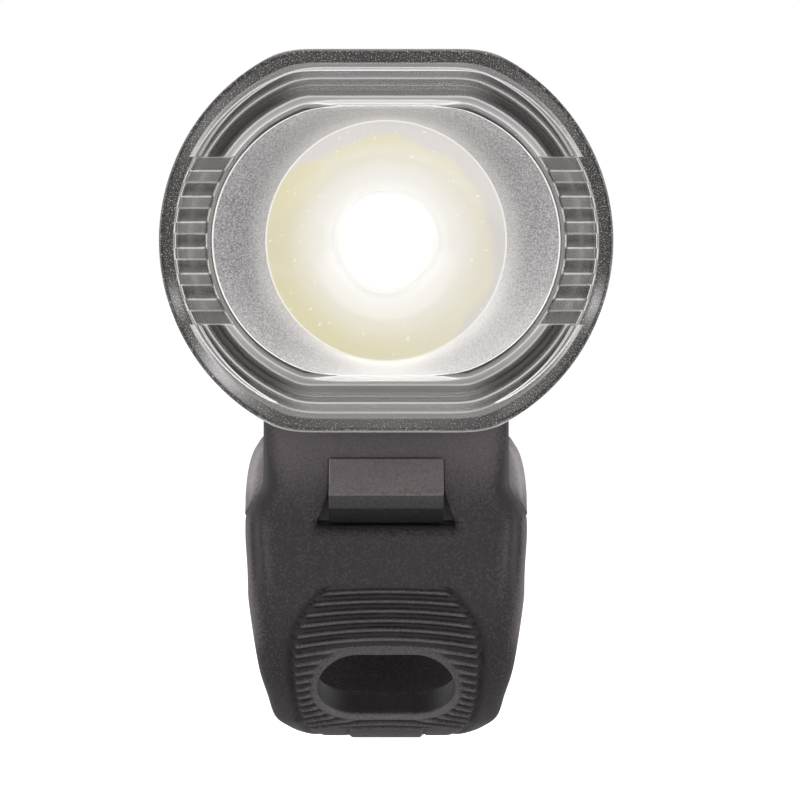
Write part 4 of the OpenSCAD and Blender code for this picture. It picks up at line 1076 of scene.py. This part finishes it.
def place_facing(name, data, place, aim):
    """Adds a lamp or camera at a place in metres, turned to look at an aim."""
    holder = bpy.data.objects.new(name, data)
    holder.location = place
    holder.rotation_euler = (Vector(aim) - Vector(place)).to_track_quat("-Z", "Y").to_euler()
    bpy.context.scene.collection.objects.link(holder)
    return holder


def studio():
    """Camera on the head's axis, a white floor below, and soft lamps above, in front and on both
    sides. Places and sizes are in metres, lamps in watts."""
    camera_away, aim_aside, aim_down = 600, 1.4, 16.1
    lamp_aim = (0, 0, 0.02)
    dim_white, white = 0.35, 1.0
    floor_half, floor_z = 6, -0.03
    lens = bpy.data.cameras.new("camera")
    lens.sensor_width = 36
    lens.lens = 267
    lens.clip_end = 20
    eye = np.array([0, front_y - camera_away, head_z]) * MM
    aim = np.array([aim_aside, front_y, head_z - aim_down]) * MM
    bpy.context.scene.camera = place_facing("camera", lens, eye, aim)
    lamps = [("top_lamp", (0, -0.42, 0.62), 0.7, 0.4, 2.2),
             ("left_lamp", (-0.6, 0.02, 0.1), 0.3, 0.6, 3.1),
             ("right_lamp", (0.6, 0.02, 0.1), 0.3, 0.6, 3.1),
             ("front_lamp", (0, -1.0, 0.3), 1.2, 0.4, 3.4)]
    for name, place, wide, tall, power in lamps:
        lamp = bpy.data.lights.new(name, "AREA")
        lamp.shape = "RECTANGLE"
        lamp.size, lamp.size_y, lamp.energy = wide, tall, power
        place_facing(name, lamp, place, lamp_aim)

    # World: plain white where it is seen, and a dimmer even light on the object
    world = bpy.data.worlds.new("studio")
    bpy.context.scene.world = world
    world.use_nodes = True
    tree = world.node_tree
    tree.nodes.clear()
    level = add(tree, RANGE, {0: plainly_seen(tree), 3: dim_white, 4: white})
    light = add(tree, "ShaderNodeBackground", {"Color": "ffffff", "Strength": level})
    add(tree, "ShaderNodeOutputWorld", {"Surface": light})

    # White paper: close to the part its lit surface shows the shadow, further off it fades to white
    corners = floor_half * np.array([[-1, -1], [1, -1], [1, 1], [-1, 1]])
    mesh = bpy.data.meshes.new("floor")
    mesh.from_pydata(np.column_stack([corners, np.full(4, floor_z)]), [], [[0, 1, 2, 3]])
    floor = bpy.data.objects.new("floor", mesh)
    bpy.context.scene.collection.objects.link(floor)
    material, tree, place = start("white_paper")
    away = add(tree, VECTOR, {0: place}, "Value", operation="LENGTH")
    level = add(tree, RANGE, {0: away, 1: 0.05, 2: 0.1, 3: 0.15, 4: 0.75})
    power = add(tree, MATH, {0: plainly_seen(tree), 1: level}, operation="MULTIPLY")
    shine = add(tree, "ShaderNodeEmission", {"Color": "ffffff", "Strength": power})
    paper = add(tree, PRINCIPLED, {"Base Color": "f2f2f2", "Roughness": 0.9})
    both = add(tree, "ShaderNodeAddShader", {0: shine, 1: paper})
    add(tree, OUTPUT, {"Surface": both})
    floor.data.materials.append(material)
    bpy.context.scene.view_settings.view_transform = "Standard"


studio()
for make in (front_cover, reflector_bowl, collimator, rubber_strap, mount_saddle, rubber_button,
             charging_flap, bar_cushion, back_cover):
    make()

# Finishes of the CAD nodes that are carried over as they are
finishes = [
    # ABS as on the rear cover: matt charcoal
    (housing_abs, ["main_housing"]),
    # Nylon, moulded plain: satin black
    (moulded("black_nylon", "1a1a1a", "242424", 0.5, 0.3, 0.01), ["lens_holder", "switch_body"]),
    # Phosphor in silicone, poured over the chip: soft warm yellow
    (moulded("emitter_phosphor", "e8d36a", "f3e48f", 0.35, 0.4, 0.01), ["led_emitter"]),
    # White solder mask, printed and cured: smooth, slightly glossy white
    (moulded("white_solder_mask", "e2e2dd", "f0f0ec", 0.35, 0.6, 0.005), ["led_board"]),
    # Steel, turned and zinc plated: even grey with a soft gloss
    (metal("zinc_plated_steel", "8d8d8e", "a5a5a4", 0.35, 0.5, 0.01),
     ["led_board_screws", "rear_cover_screws", "control_board_screws", "base_screws", "strap_pin"]),
    # Aluminium, sawn and deburred: pale and blurred in its gloss
    (metal("sawn_aluminium", "a6a8aa", "bcbec0", 0.42, 0.4, 0.02), ["heat_sink"]),
    # PVC sleeve, extruded over the wire: smooth red with a soft gloss
    (moulded("red_pvc_sleeve", "8f1a16", "a8221c", 0.35, 0.5, 0.005), ["led_leads"]),
    # Silicone seal, moulded: matt black
    (moulded("seal_silicone", "161616", "222222", 0.6, 0.3, 0.01), ["rear_gasket"]),
    # PVC film, shrunk over the cell: glossy blue with slow waves
    (moulded("blue_shrink_sleeve", "1f4a78", "28588c", 0.28, 1.2, 0.01), ["battery_cell"]),
    # Polyurethane foam, cut: dull dark grey with open pores
    (moulded("cell_foam", "2c2c2c", "4a4a4a", 0.85, 0.5, 0.08), ["battery_pads", "battery_end_pad"]),
    # Nickel, rolled: warm pale metal with a clear gloss
    (metal("nickel_strip", "a5a39b", "b8b6ae", 0.3, 0.6, 0.01), ["battery_tabs", "usb_socket"]),
    # Green solder mask, printed and cured: glossy dark green
    (moulded("green_solder_mask", "0d4d2a", "14603a", 0.3, 0.8, 0.01), ["control_board"]),
    # Acetal, moulded: smooth milky white
    (moulded("white_acetal", "d8d8d2", "e6e6e2", 0.4, 0.4, 0.005), ["switch_plunger"]),
    # Acrylic, moulded and frosted: pale and cold, seen only as a dot in the housing
    (moulded("frosted_acrylic", "cfd6dc", "e2e8ec", 0.3, 0.4, 0.01), ["light_pipe"]),
]
for material, names in finishes:
    for name in names:
        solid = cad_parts[name].data
        solid.materials.clear()
        solid.materials.append(material)
